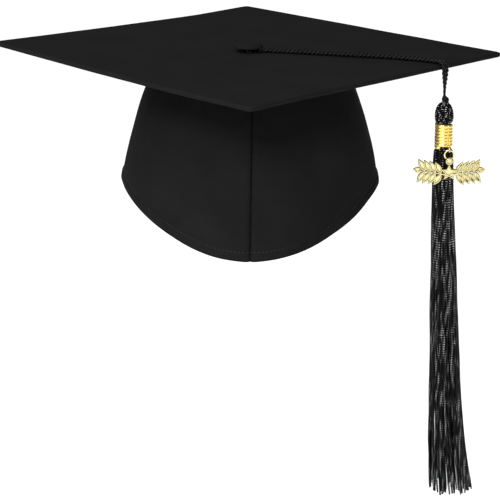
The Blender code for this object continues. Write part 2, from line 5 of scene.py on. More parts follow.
import bmesh
import bpy
from mathutils import Matrix, Vector, noise
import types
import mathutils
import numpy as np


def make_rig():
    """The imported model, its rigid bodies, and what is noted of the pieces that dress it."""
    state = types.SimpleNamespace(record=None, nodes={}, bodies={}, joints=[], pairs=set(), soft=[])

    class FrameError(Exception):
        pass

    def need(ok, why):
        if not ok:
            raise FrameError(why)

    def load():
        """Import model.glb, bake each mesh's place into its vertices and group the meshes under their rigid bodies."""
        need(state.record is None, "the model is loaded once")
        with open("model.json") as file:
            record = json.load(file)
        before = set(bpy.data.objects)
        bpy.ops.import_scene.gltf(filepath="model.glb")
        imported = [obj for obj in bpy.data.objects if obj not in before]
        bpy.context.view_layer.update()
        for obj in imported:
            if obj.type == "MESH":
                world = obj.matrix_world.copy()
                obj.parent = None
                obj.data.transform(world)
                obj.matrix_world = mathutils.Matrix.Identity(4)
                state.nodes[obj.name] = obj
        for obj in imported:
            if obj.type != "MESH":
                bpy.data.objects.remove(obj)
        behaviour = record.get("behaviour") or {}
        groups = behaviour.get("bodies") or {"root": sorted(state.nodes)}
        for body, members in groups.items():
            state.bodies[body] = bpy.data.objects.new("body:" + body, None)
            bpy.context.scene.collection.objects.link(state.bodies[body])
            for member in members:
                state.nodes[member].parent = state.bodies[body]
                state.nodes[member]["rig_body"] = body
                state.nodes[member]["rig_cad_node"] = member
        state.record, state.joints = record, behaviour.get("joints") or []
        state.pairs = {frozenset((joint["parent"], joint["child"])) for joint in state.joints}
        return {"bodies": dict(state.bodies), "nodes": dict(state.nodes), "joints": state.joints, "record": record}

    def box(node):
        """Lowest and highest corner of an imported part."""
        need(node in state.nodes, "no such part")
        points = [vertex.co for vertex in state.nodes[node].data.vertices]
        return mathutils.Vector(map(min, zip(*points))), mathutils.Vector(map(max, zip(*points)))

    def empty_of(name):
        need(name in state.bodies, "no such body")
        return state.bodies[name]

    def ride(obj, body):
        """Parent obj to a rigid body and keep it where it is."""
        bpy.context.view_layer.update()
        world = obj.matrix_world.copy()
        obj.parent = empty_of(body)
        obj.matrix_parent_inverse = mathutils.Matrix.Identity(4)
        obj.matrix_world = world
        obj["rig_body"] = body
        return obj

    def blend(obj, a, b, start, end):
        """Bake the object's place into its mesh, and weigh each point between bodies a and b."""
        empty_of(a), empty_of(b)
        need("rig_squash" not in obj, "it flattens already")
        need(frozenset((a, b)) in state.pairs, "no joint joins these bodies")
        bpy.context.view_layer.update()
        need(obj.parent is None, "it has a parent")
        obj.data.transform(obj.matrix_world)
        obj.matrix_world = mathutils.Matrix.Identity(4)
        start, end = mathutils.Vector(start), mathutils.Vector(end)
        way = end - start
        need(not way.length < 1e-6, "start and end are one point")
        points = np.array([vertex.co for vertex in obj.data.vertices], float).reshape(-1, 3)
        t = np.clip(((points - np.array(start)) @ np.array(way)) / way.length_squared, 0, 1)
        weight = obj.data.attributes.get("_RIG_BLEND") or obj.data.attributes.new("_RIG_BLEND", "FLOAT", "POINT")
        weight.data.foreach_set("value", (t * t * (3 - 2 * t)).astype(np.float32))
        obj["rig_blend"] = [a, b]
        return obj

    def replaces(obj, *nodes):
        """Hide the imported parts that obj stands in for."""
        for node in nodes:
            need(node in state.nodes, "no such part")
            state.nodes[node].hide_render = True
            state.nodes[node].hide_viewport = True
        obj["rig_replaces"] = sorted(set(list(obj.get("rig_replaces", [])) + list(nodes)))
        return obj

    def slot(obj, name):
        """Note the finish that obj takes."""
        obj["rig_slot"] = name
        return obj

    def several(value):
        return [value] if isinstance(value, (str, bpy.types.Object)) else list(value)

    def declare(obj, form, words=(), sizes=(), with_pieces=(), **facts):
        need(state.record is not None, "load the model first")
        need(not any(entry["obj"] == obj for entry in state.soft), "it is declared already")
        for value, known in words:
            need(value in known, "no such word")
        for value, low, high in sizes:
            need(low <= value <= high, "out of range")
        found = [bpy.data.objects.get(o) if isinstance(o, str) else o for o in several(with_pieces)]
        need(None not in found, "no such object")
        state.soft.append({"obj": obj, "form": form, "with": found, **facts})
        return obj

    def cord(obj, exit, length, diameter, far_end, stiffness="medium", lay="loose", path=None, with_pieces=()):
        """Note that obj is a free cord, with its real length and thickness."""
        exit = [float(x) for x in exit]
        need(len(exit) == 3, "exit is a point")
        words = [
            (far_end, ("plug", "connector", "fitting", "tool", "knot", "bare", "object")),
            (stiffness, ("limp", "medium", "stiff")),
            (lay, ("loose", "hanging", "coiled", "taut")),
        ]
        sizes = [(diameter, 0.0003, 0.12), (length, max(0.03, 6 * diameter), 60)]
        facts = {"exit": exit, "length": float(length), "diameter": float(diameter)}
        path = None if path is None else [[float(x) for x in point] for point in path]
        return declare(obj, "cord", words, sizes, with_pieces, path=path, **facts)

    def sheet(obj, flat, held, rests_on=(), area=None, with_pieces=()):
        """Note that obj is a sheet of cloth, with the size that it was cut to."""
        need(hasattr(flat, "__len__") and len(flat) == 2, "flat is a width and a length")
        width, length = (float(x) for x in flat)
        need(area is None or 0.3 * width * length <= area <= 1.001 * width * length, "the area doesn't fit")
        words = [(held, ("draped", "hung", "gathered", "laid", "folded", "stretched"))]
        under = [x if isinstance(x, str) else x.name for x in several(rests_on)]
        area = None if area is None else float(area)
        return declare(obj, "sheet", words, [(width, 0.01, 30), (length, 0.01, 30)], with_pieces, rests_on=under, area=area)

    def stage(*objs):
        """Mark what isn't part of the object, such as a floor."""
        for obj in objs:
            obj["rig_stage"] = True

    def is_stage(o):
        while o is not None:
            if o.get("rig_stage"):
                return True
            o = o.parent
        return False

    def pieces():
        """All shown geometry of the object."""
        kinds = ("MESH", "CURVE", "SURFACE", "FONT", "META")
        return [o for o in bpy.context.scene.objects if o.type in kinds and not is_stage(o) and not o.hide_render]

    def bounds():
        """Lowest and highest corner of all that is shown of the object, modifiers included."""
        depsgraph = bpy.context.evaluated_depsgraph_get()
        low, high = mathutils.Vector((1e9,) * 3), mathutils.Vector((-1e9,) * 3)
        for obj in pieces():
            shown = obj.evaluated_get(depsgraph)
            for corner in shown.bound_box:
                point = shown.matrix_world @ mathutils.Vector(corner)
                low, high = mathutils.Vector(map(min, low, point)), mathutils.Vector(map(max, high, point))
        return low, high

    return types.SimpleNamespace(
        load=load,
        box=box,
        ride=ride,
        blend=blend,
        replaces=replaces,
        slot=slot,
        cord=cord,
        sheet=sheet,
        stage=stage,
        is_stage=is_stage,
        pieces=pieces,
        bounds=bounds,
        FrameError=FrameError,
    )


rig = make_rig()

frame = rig.load()
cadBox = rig.bounds()

mm = 0.001  # the dictionaries below hold millimetres and degrees
turnOf = math.tau
jointAt = {joint["name"]: Vector(joint["pos_m"]) for joint in frame["joints"]}
boardLow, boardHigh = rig.box("board_cover_top")
boardTop = boardHigh.z
cornerReach = boardHigh.x
tasselAt = Vector((*jointAt["tassel_sway"].xy, boardTop))  # heights on the tassel count from here
edgeOut = Vector((1, -1, 0)).normalized()  # across the edge that the cord hangs over
edgeAlong = Vector((1, 1, 0)).normalized()


# ---- small helpers

def addNode(tree, kind, inputs=None, **settings):
    # a socket given as an input is linked, anything else is its value
    node = tree.nodes.new(kind)
    for name, value in settings.items():
        setattr(node, name, value)
    for name, value in (inputs or {}).items():
        if isinstance(value, bpy.types.NodeSocket):
            tree.links.new(value, node.inputs[name])
        else:
            node.inputs[name].default_value = value
    return node


def linear(hexColour):
    # sRGB hex to the linear colour that shaders take
    parts = [int(hexColour[i:i + 2], 16) / 255 for i in (1, 3, 5)]
    return (*[p / 12.92 if p <= 0.04045 else ((p + 0.055) / 1.055) ** 2.4 for p in parts], 1)


def addObject(name, data, *materials):
    piece = bpy.data.objects.new(name, data)
    bpy.context.scene.collection.objects.link(piece)
    for material in materials:
        data.materials.append(material)
    return piece


def smoothPath(knots, step):
    # Catmull-Rom curve through the knots, a point about every step
    ends = [knots[0] * 2 - knots[1], *knots, knots[-1] * 2 - knots[-2]]
    path = []
    for a, b, c, d in zip(ends, ends[1:], ends[2:], ends[3:]):
        pieces = max(1, round((c - b).length / step))
        for i in range(pieces):
            t = i / pieces
            path.append(((2 * b) + (c - a) * t + (2 * a - 5 * b + 4 * c - d) * t ** 2
                         + (3 * b - a - 3 * c + d) * t ** 3) / 2)
    return [*path, knots[-1]]


def smoothStep(low, high, value):
    share = min(1, max(0, (value - low) / (high - low)))
    return share * share * (3 - 2 * share)


def between(levels, height):
    # reads a table of (height, value...) rows, given from the top down
    for above, below in zip(levels, levels[1:]):
        if height >= below[0]:
            share = min(1, max(0, (above[0] - height) / (above[0] - below[0])))
            return [a + (b - a) * share for a, b in zip(above[1:], below[1:])]
    return list(levels[-1][1:])


def sheetMesh(name, columns, rows, place, flat, merge=0.0, reverse=False, paint=None):
    # a grid bent into shape: place(u, v) is each point, flat(u, v) its place on the uncut cloth,
    # paint(u, v) the number of its material
    bm = bmesh.new()
    bmesh.ops.create_grid(bm, x_segments=columns, y_segments=rows, size=0.5)
    layer = bm.loops.layers.uv.new("clothMap")
    for face in bm.faces:
        face.smooth = True
        if paint:
            middle = face.calc_center_median()
            face.material_index = paint(middle.x + 0.5, middle.y + 0.5)
        for loop in face.loops:
            loop[layer].uv = flat(loop.vert.co.x + 0.5, loop.vert.co.y + 0.5)
    for vert in bm.verts:
        vert.co = place(vert.co.x + 0.5, vert.co.y + 0.5)
    if merge:
        bmesh.ops.remove_doubles(bm, verts=bm.verts, dist=merge)
    if reverse:
        bmesh.ops.reverse_faces(bm, faces=bm.faces)
    mesh = bpy.data.meshes.new(name)
    bm.to_mesh(mesh)
    bm.free()
    return mesh


def thicken(piece, thickness):
    modifier = piece.modifiers.new("Solidify", "SOLIDIFY")
    modifier.thickness = thickness * mm
    modifier.offset = -1
    modifier.use_even_offset = True


def soften(piece, width, angle=30):
    # eases the edges that turn by more than an angle
    bevel = piece.modifiers.new("Bevel", "BEVEL")
    bevel.width = width
    bevel.segments = 2
    bevel.limit_method = "ANGLE"
    bevel.angle_limit = math.radians(angle)


def applyModifiers(piece):
    graph = bpy.context.evaluated_depsgraph_get()
    mesh = bpy.data.meshes.new_from_object(piece.evaluated_get(graph))
    piece.modifiers.clear()
    piece.data = mesh


def aroundCentre(turn, radius=1.0):
    # a point on a level circle
    return Vector((math.cos(turn), math.sin(turn), 0)) * radius


def refinish(name, material):
    # a plain node of the frame that is shown as it is, in a better finish
    data = frame["nodes"][name].data
    data.materials.clear()
    data.materials.append(material)


def fromTassel(x, y, z):
    return tasselAt + Vector((x, y, z)) * mm


def lathe(name, profile, steps):
    # a profile of (radius, height), from the top down, turned about Z
    def place(u, v):
        radius, height = profile[round(v * (len(profile) - 1))]
        return (aroundCentre(u * turnOf, radius) + Vector((0, 0, height))) * mm

    return sheetMesh(name, steps, len(profile) - 1, place, lambda u, v: (u, v), 1e-6, True)


# ---- camera, floor and light

camera = {"lens": 179.9, "sensor": 36.0, "distance": 1680.6, "elevation": 11.35,
          "tilt": 15.9, "turn": -0.51, "pan": 0.065, "roll": 0.35}


def makeCamera():
    data = bpy.data.cameras.new("studioCamera")
    data.lens = camera["lens"]
    data.sensor_width = camera["sensor"]
    data.clip_end = 100
    viewer = addObject("studioCamera", data)
    rise = math.radians(camera["elevation"])
    away = Vector((0, -math.cos(rise), math.sin(rise))) * camera["distance"] * mm
    turn = Matrix.Rotation(math.radians(camera["turn"]), 4, "Z")
    tilt = Matrix.Rotation(math.radians(90 - camera["tilt"]), 4, "X")
    roll = Matrix.Rotation(math.radians(camera["roll"]), 4, "Z")
    pan = Matrix.Rotation(math.radians(-camera["pan"]), 4, "Z")
    place = Matrix.Translation(turn @ away + Vector((0, 0, boardTop)))
    viewer.matrix_world = place @ pan @ turn @ tilt @ roll
    bpy.context.scene.camera = viewer


studio = {"floorDrop": 1.15, "floorSide": 60.0, "worldStrength": 0.21, "floorGlow": 0.82}  # metres
lamps = {  # place in metres, width and height in metres, watts
    "keySoftbox": {"place": (-0.45, -2.2, 1.25), "size": (0.6, 0.6), "power": 72},
    "stripSoftbox": {"place": (-1.55, -1.5, 0.1), "size": (0.16, 1.6), "power": 9},
    "topSoftbox": {"place": (-1.2, -0.5, 2.1), "size": (1.2, 1.2), "power": 62},
    "rightSoftbox": {"place": (2.0, -1.3, 0.4), "size": (0.5, 1.2), "power": 9},
}


def makeStudio():
    side = studio["floorSide"] / 2
    mesh = bpy.data.meshes.new("studioFloor")
    corners = [(-side, -side), (side, -side), (side, side), (-side, side)]
    mesh.from_pydata([(x, y, -studio["floorDrop"]) for x, y in corners], [], [(0, 1, 2, 3)])
    material = bpy.data.materials.new("painted white floor")
    material.use_nodes = True
    shader = material.node_tree.nodes["Principled BSDF"]
    shader.inputs["Base Color"].default_value = linear("#f4f4f4")
    shader.inputs["Roughness"].default_value = 0.9
    shader.inputs["Emission Color"].default_value = linear("#ffffff")
    shader.inputs["Emission Strength"].default_value = studio["floorGlow"]
    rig.stage(addObject("studioFloor", mesh, material))
    world = bpy.data.worlds.new("studioWorld")
    world.use_nodes = True
    sky = world.node_tree.nodes["Background"]
    sky.inputs["Color"].default_value = linear("#ffffff")
    sky.inputs["Strength"].default_value = studio["worldStrength"]
    bpy.context.scene.world = world
    bpy.context.scene.view_settings.view_transform = "Standard"
    for name, lamp in lamps.items():
        data = bpy.data.lights.new(name, "AREA")
        data.shape = "RECTANGLE"
        data.size, data.size_y = lamp["size"]
        data.energy = lamp["power"]
        light = addObject(name, data)
        light.visible_camera = False
        place = Vector(lamp["place"])
        aim = (Vector((0, 0, -0.08)) - place).to_track_quat("-Z", "Y")
        light.matrix_world = Matrix.Translation(place) @ aim.to_matrix().to_4x4()


makeCamera()
makeStudio()
print("camera, floor and lights set")


# ---- materials

def newMaterial(name):
    material = bpy.data.materials.new(name)
    material.use_nodes = True
    tree = material.node_tree
    return material, tree, tree.nodes["Principled BSDF"]


def bandScale(spacing):
    # a Wave texture's scale for bands this many millimetres apart
    return math.pi / 10 / (spacing * mm)


def noiseNode(tree, where, size, **inputs):
    # noise with blotches about this many millimetres across
    values = {"Vector": where, "Scale": 1 / (size * mm), **inputs}
    return addNode(tree, "ShaderNodeTexNoise", values).outputs["Fac"]


def waveNode(tree, where, spacing, way, distortion, **inputs):
    # bands this many millimetres apart, across X or Y
    values = {"Vector": where, "Scale": bandScale(spacing), "Distortion": distortion, **inputs}
    return addNode(tree, "ShaderNodeTexWave", values, bands_direction=way).outputs["Fac"]


def mathNode(tree, operation, *values):
    return addNode(tree, "ShaderNodeMath", dict(enumerate(values)), operation=operation).outputs[0]


def setTint(tree, shader, share, low, high):
    # the colour goes from low to high as the share rises
    tint = addNode(tree, "ShaderNodeMix", {"Factor": share}, data_type="RGBA")
    tint.inputs[6].default_value = linear(low)
    tint.inputs[7].default_value = linear(high)
    tree.links.new(tint.outputs[2], shader.inputs["Base Color"])


def setGloss(tree, shader, share, low, high):
    # the roughness goes from low to high as the share rises
    gloss = addNode(tree, "ShaderNodeMapRange", {"Value": share, "To Min": low, "To Max": high})
    tree.links.new(gloss.outputs[0], shader.inputs["Roughness"])


def setBump(tree, shader, height, strength, depth):
    bump = addNode(tree, "ShaderNodeBump", {"Height": height, "Strength": strength, "Distance": depth * mm})
    tree.links.new(bump.outputs[0], shader.inputs["Normal"])


clothLook = {"ground": "#0f0f0f", "paintedSheen": "#171717", "roughness": (0.72, 0.86),
             "threadSpacing": 0.8,  # real threads lie 0.3 mm apart: drawn coarser, to show at all
             "slubSize": 6.25, "cloudSize": 35.0, "shine": 0.03}


def makeCloth(name, look, turned=0.0, coordinates="UV"):
    # Matte polyester gown cloth, plain woven and dyed black: nearly no shine. Its base colour
    # rises from the ground to a faint painted sheen in large random blotches.
    material, tree, shader = newMaterial(name)
    where = addNode(tree, "ShaderNodeTexCoord").outputs[coordinates]
    turning = {"Vector": where, "Rotation": (0, 0, math.radians(turned))}
    threads = addNode(tree, "ShaderNodeMapping", turning).outputs[0]
    detail = {"Detail": 1.0, "Detail Scale": 2.0}
    warp = waveNode(tree, threads, look["threadSpacing"], "X", 0.6, **detail)
    weft = waveNode(tree, threads, look["threadSpacing"], "Y", 0.6, **detail)
    weave = mathNode(tree, "MULTIPLY", warp, weft)
    slub = noiseNode(tree, where, look["slubSize"], Detail=4.0)
    setBump(tree, shader, mathNode(tree, "ADD", weave, slub), 0.35, 0.12)
    # painted sheen: these blotches lift the base colour from the ground to the paintedSheen colour
    cloud = noiseNode(tree, where, look["cloudSize"], Detail=3.0, Roughness=0.55)
    setTint(tree, shader, cloud, look["ground"], look["paintedSheen"])
    smooth, rough = look["roughness"]
    setGloss(tree, shader, weave, rough, smooth)
    shader.inputs["Specular IOR Level"].default_value = look["shine"]
    return material


def makeYarn(name, look):
    # Twisted or looped yarn: fine filaments run along each ply. Painted highlight flecks lie on the crowns of its
    # plies and loops, and the grooves between the plies keep the dark ground colour as painted shade.
    material, tree, shader = newMaterial(name)
    coordinates = addNode(tree, "ShaderNodeTexCoord")
    where = coordinates.outputs["UV"]
    drawn = {"Vector": where, "Scale": (look["filaments"], 1 / (look["slub"] * mm), 1)}
    spread = addNode(tree, "ShaderNodeMapping", drawn).outputs[0]
    fibre = addNode(tree, "ShaderNodeTexNoise", {"Vector": spread, "Scale": 1.0, "Detail": 3.0})
    fibre = fibre.outputs["Fac"]
    stretched = {"Vector": coordinates.outputs["Object"], "Scale": (1, 1, 1 / look["glintStretch"])}
    body = addNode(tree, "ShaderNodeMapping", stretched).outputs[0]
    glintSpots = noiseNode(tree, body, look["glintSize"], Detail=1.0)
    paintedHighlight = addNode(tree, "ShaderNodeMapRange", {
        "Value": glintSpots, "From Min": look["glintFrom"], "From Max": look["glintFrom"] + 0.09})
    loops = waveNode(tree, where, look["loopSpacing"], "Y", 0.8, Detail=1.0)
    tops = addNode(tree, "ShaderNodeMapRange", {"Value": loops, "From Min": look["loopFrom"]})
    around = addNode(tree, "ShaderNodeSeparateXYZ", {0: where}).outputs["X"]
    crest = mathNode(tree, "COSINE", mathNode(tree, "MULTIPLY", around, math.pi * look["plies"]))
    onPly = mathNode(tree, "MULTIPLY", tops.outputs[0], mathNode(tree, "POWER", crest, 2.0))
    # painted highlight on ply crowns and loop tops where the glint spots rise; painted shade in the grooves between
    # plies
    highlightMask = mathNode(tree, "MULTIPLY", onPly, paintedHighlight.outputs[0])
    setTint(tree, shader, highlightMask, look["ground"], look["paintedHighlight"])
    setGloss(tree, shader, fibre, *look["roughness"])
    setBump(tree, shader, fibre, 0.4, 0.08)
    shader.inputs["Specular IOR Level"].default_value = look["shine"]
    return material


def makeMetal(name, look):
    # Plated or plain metal: a soft polish, broken by fine scratches and a little tarnish in patches.
    material, tree, shader = newMaterial(name)
    where = addNode(tree, "ShaderNodeTexCoord").outputs["Object"]
    patch = noiseNode(tree, where, look["patchSize"], Detail=4.0)
    grain = noiseNode(tree, where, look["grainSize"], Detail=2.0)
    setTint(tree, shader, patch, look["light"], look["deep"])
    setGloss(tree, shader, patch, *look["roughness"])
    setBump(tree, shader, grain, look["grainStrength"], 0.03)
    shader.inputs["Metallic"].default_value = look["metallic"]
    return material


# the hem band's copy of the cloth: its painted sheen in finer blotches with a wider range, standing in for light on
# the raised hem
hemLook = dict(clothLook, ground="#0e0e0e", paintedSheen="#181818", cloudSize=9.0)
liningLook = dict(clothLook, ground="#151515", paintedSheen="#1c1c1c", threadSpacing=1.1)
# ground is the yarn's own black; paintedHighlight is the colour of the painted highlight on ply crowns and loops
cordLook = {"ground": "#010101", "paintedHighlight": "#1e1e1e", "plies": 2, "filaments": 14, "slub": 3.0,
            "glintSize": 1.2, "glintFrom": 0.3, "glintStretch": 1, "loopSpacing": 0.9, "loopFrom": 0.0,
            "roughness": (0.36, 0.5), "shine": 0.08}
flossLook = {"ground": "#010101", "paintedHighlight": "#f2f2f2", "plies": 2, "filaments": 5, "slub": 1.4,
             "glintSize": 1.5, "glintFrom": 0.52, "glintStretch": 8, "loopSpacing": 1.6, "loopFrom": 0.78,
             "roughness": (0.34, 0.55), "shine": 0.07}
headLook = dict(flossLook, glintStretch=1.6, glintFrom=0.5, loopSpacing=1.2)
threadLook = dict(cordLook, ground="#0c0c0c", paintedHighlight="#151515", filaments=6, slub=2.0, glintSize=2.0,
                  glintFrom=0.5, loopSpacing=1.0, roughness=(0.4, 0.6), shine=0.3)
bandLook = {"light": "#f6e898", "deep": "#d6ae44", "patchSize": 4.0, "grainSize": 0.5,
            "grainStrength": 0.15, "roughness": (0.22, 0.34), "metallic": 0.85}
charmLook = {"light": "#f0e9b6", "deep": "#dfd494", "patchSize": 5.0, "grainSize": 0.35,
             "grainStrength": 0.3, "roughness": (0.2, 0.34), "metallic": 1.0}
# a darker copy of the charm's gold: painted shade for its walls, eased edges and the slopes into its sunk faces
charmPaintedShadeLook = dict(charmLook, light="#9a8a50", deep="#84743f", roughness=(0.35, 0.5))
steelLook = {"light": "#c9cacc", "deep": "#9c9da0", "patchSize": 5.0, "grainSize": 0.4,
             "grainStrength": 0.4, "roughness": (0.25, 0.42), "metallic": 1.0}
# the button's back disc drawn black and dull: painted shade under the button
buttonBackShadeLook = dict(steelLook, light="#242424", deep="#161616", grainStrength=0.3, roughness=(0.5, 0.65),
                metallic=0.0)


def makeElastic():
    # Woven elastic web: rubber cores side by side under black yarn show as fine ribs along it.
    material, tree, shader = newMaterial("black woven elastic")
    where = addNode(tree, "ShaderNodeTexCoord").outputs["UV"]
    ribs = waveNode(tree, where, 1.2, "Y", 0.3)
    picks = waveNode(tree, where, 0.7, "X", 0.8)
    setBump(tree, shader, mathNode(tree, "MULTIPLY_ADD", ribs, picks, 0.6), 0.6, 0.25)
    setTint(tree, shader, ribs, "#121214", "#2a2a2d")
    shader.inputs["Roughness"].default_value = 0.7
    return material


def makeCard():
    # Grey board, rolled from waste paper: matte, with short fibres and specks.
    material, tree, shader = newMaterial("grey pasteboard")
    where = addNode(tree, "ShaderNodeTexCoord").outputs["Object"]
    fibre = noiseNode(tree, where, 1.5, Detail=5.0)
    setTint(tree, shader, fibre, "#8d887d", "#b5afa2")
    setBump(tree, shader, fibre, 0.3, 0.1)
    shader.inputs["Roughness"].default_value = 0.85
    return material


boardCloth = makeCloth("black woven polyester, on the bias", clothLook, 45.0, "Object")
capCloth = makeCloth("black woven polyester", clothLook)
liningCloth = makeCloth("black woven lining", liningLook)
cordYarn = makeYarn("black twisted satin cord", cordLook)
flossYarn = makeYarn("black rayon chainette", flossLook)
headYarn = makeYarn("black rayon chainette, folded over the head", headLook)
threadYarn = makeYarn("black sewing thread", threadLook)
bandGold = makeMetal("gold plated wire", bandLook)
charmGold = makeMetal("pale gold plated casting", charmLook)
charmPaintedShade = makeMetal("gold plating darkened as painted shade", charmPaintedShadeLook)
buttonSteel = makeMetal("pressed steel", steelLook)
buttonBackShade = makeMetal("steel drawn black as painted shade under the button", buttonBackShadeLook)
hemCloth = makeCloth("black woven polyester, hem copy with painted sheen", hemLook)
elasticWeb = makeElastic()
cardStock = makeCard()
print("materials made")


# ---- node trees that follow a path

def newTree(name, inputs):
    tree = bpy.data.node_groups.new(name, "GeometryNodeTree")
    tree.interface.new_socket("Geometry", in_out="INPUT", socket_type="NodeSocketGeometry")
    for label, (kind, value) in inputs.items():
        socket = tree.interface.new_socket(label, in_out="INPUT", socket_type="NodeSocket" + kind)
        if value is not None:
            socket.default_value = value
    tree.interface.new_socket("Geometry", in_out="OUTPUT", socket_type="NodeSocketGeometry")
    return tree, tree.nodes.new("NodeGroupInput").outputs


def endTree(tree, geometry, material):
    real = addNode(tree, "GeometryNodeRealizeInstances", {"Geometry": geometry})
    done = addNode(tree, "GeometryNodeSetMaterial", {"Geometry": real.outputs[0], "Material": material})
    addNode(tree, "NodeGroupOutput", {"Geometry": done.outputs[0]})


def capture(tree, geometry, label, value):
    # keeps a field's value from this point on; gives the geometry and the kept value
    node = addNode(tree, "GeometryNodeCaptureAttribute", {"Geometry": geometry})
    node.capture_items.new("FLOAT", label)
    tree.links.new(value, node.inputs[label])
    return node.outputs["Geometry"], node.outputs[label]


def sweep(tree, path, section):
    body = addNode(tree, "GeometryNodeCurveToMesh", {
        "Curve": path, "Profile Curve": section, "Fill Caps": True})
    if "Scale" in body.inputs:
        thick = addNode(tree, "GeometryNodeInputRadius")
        tree.links.new(thick.outputs[0], body.inputs["Scale"])
    return body.outputs[0]


def makeTwistTree():
    # sweeps a lobed section along each path and turns it as it goes, like plies laid together
    tree, given = newTree("twisted plies", {
        "Radius": ("Float", 0.001), "Twist length": ("Float", 0.006), "Step": ("Float", 0.0004),
        "Plies": ("Int", 2), "Waist": ("Float", 0.3), "Sides": ("Int", 16), "Seed": ("Int", 1),
        "Material": ("Material", None)})
    path = addNode(tree, "GeometryNodeResampleCurve", {"Curve": given["Geometry"], "Length": given["Step"]},
                   mode="LENGTH")
    along = addNode(tree, "GeometryNodeSplineParameter").outputs["Length"]
    index = addNode(tree, "GeometryNodeInputIndex").outputs[0]
    spline = addNode(tree, "GeometryNodeFieldOnDomain", {0: index}, data_type="INT", domain="CURVE")
    phase = addNode(tree, "FunctionNodeRandomValue", {"ID": spline.outputs[0], "Seed": given["Seed"]},
                    data_type="FLOAT")
    laid = mathNode(tree, "DIVIDE", along, given["Twist length"])
    turns = mathNode(tree, "SUBTRACT", phase.outputs[1], laid)
    angle = mathNode(tree, "MULTIPLY", turns, turnOf)
    tilted = addNode(tree, "GeometryNodeSetCurveTilt", {"Curve": path.outputs[0], "Tilt": angle})
    marked, alongMark = capture(tree, tilted.outputs[0], "Along", along)
    # the section: a ring pinched between its plies
    ring = addNode(tree, "GeometryNodeCurvePrimitiveCircle", {"Resolution": given["Sides"], "Radius": 1.0})
    around = addNode(tree, "GeometryNodeSplineParameter").outputs["Factor"]
    lobe = mathNode(tree, "MULTIPLY", around, mathNode(tree, "MULTIPLY", given["Plies"], math.pi))
    swell = mathNode(tree, "ABSOLUTE", mathNode(tree, "COSINE", lobe))
    reach = addNode(tree, "ShaderNodeMapRange", {"Value": swell, "To Min": given["Waist"]})
    size = mathNode(tree, "MULTIPLY", reach.outputs[0], given["Radius"])
    spot = addNode(tree, "GeometryNodeInputPosition").outputs[0]
    scaled = addNode(tree, "ShaderNodeVectorMath", {0: spot, "Scale": size}, operation="SCALE")
    section = addNode(tree, "GeometryNodeSetPosition", {
        "Geometry": ring.outputs[0], "Position": scaled.outputs[0]})
    named, aroundMark = capture(tree, section.outputs[0], "Around", around)
    body = sweep(tree, marked, named)
    place = addNode(tree, "ShaderNodeCombineXYZ", {"X": aroundMark, "Y": alongMark})
    mapped = addNode(tree, "GeometryNodeStoreNamedAttribute", {
        "Geometry": body, "Name": "yarnMap", "Value": place.outputs[0]},
        data_type="FLOAT2", domain="CORNER")
    endTree(tree, mapped.outputs[0], given["Material"])
    return tree


def makeWireTree():
    # sweeps an oval section along each path with one axis kept level, like wire wound on a core
    tree, given = newTree("wound wire", {
        "Half width": ("Float", 0.001), "Half height": ("Float", 0.001), "Sides": ("Int", 12),
        "Material": ("Material", None)})
    level = addNode(tree, "GeometryNodeSetCurveNormal", {"Curve": given["Geometry"]}, mode="Z_UP")
    ring = addNode(tree, "GeometryNodeCurvePrimitiveCircle", {"Resolution": given["Sides"], "Radius": 1.0})
    size = addNode(tree, "ShaderNodeCombineXYZ", {
        "X": given["Half width"], "Y": given["Half height"], "Z": 1.0})
    section = addNode(tree, "GeometryNodeTransform", {
        "Geometry": ring.outputs[0], "Scale": size.outputs[0]})
    endTree(tree, sweep(tree, level.outputs[0], section.outputs[0]), given["Material"])
    return tree


def makeStitchTree():
    # lays a short rounded stitch along each path at even spacing
    tree, given = newTree("row of stitches", {
        "Spacing": ("Float", 0.0026), "Stitch length": ("Float", 0.002), "Thickness": ("Float", 0.0004),
        "Material": ("Material", None)})
    spots = addNode(tree, "GeometryNodeCurveToPoints", {
        "Curve": given["Geometry"], "Length": given["Spacing"]}, mode="LENGTH")
    bead = addNode(tree, "GeometryNodeMeshUVSphere", {"Segments": 6, "Rings": 4, "Radius": 0.5})
    size = addNode(tree, "ShaderNodeCombineXYZ", {
        "X": given["Stitch length"], "Y": given["Thickness"], "Z": given["Thickness"]})
    turned = addNode(tree, "FunctionNodeAlignRotationToVector", {"Vector": spots.outputs["Tangent"]},
                     axis="X")
    laid = addNode(tree, "GeometryNodeInstanceOnPoints", {
        "Points": spots.outputs["Points"], "Instance": bead.outputs["Mesh"],
        "Rotation": turned.outputs[0], "Scale": size.outputs[0]})
    endTree(tree, laid.outputs[0], given["Material"])
    return tree


def pathCurve(name, paths, radii=None, closed=False):
    curve = bpy.data.curves.new(name, "CURVE")
    curve.dimensions = "3D"
    for n, path in enumerate(paths):
        spline = curve.splines.new("POLY")
        spline.points.add(len(path) - 1)
        for i, point in enumerate(path):
            spline.points[i].co = (*point, 1)
            spline.points[i].radius = radii[n][i] if radii else 1
        spline.use_cyclic_u = closed
    return addObject(name + "Path", curve)


def grow(name, source, tree, inputs):
    # runs a tree on a source curve, keeps the result as a plain mesh and removes the source
    modifier = source.modifiers.new(tree.name, "NODES")
    modifier.node_group = tree
    for item in tree.interface.items_tree:
        if item.name in inputs:
            modifier[item.identifier] = inputs[item.name]
    graph = bpy.context.evaluated_depsgraph_get()
    mesh = bpy.data.meshes.new_from_object(source.evaluated_get(graph))
    mesh.name = name
    bpy.data.objects.remove(source)
    mesh.shade_smooth()
    return addObject(name, mesh)


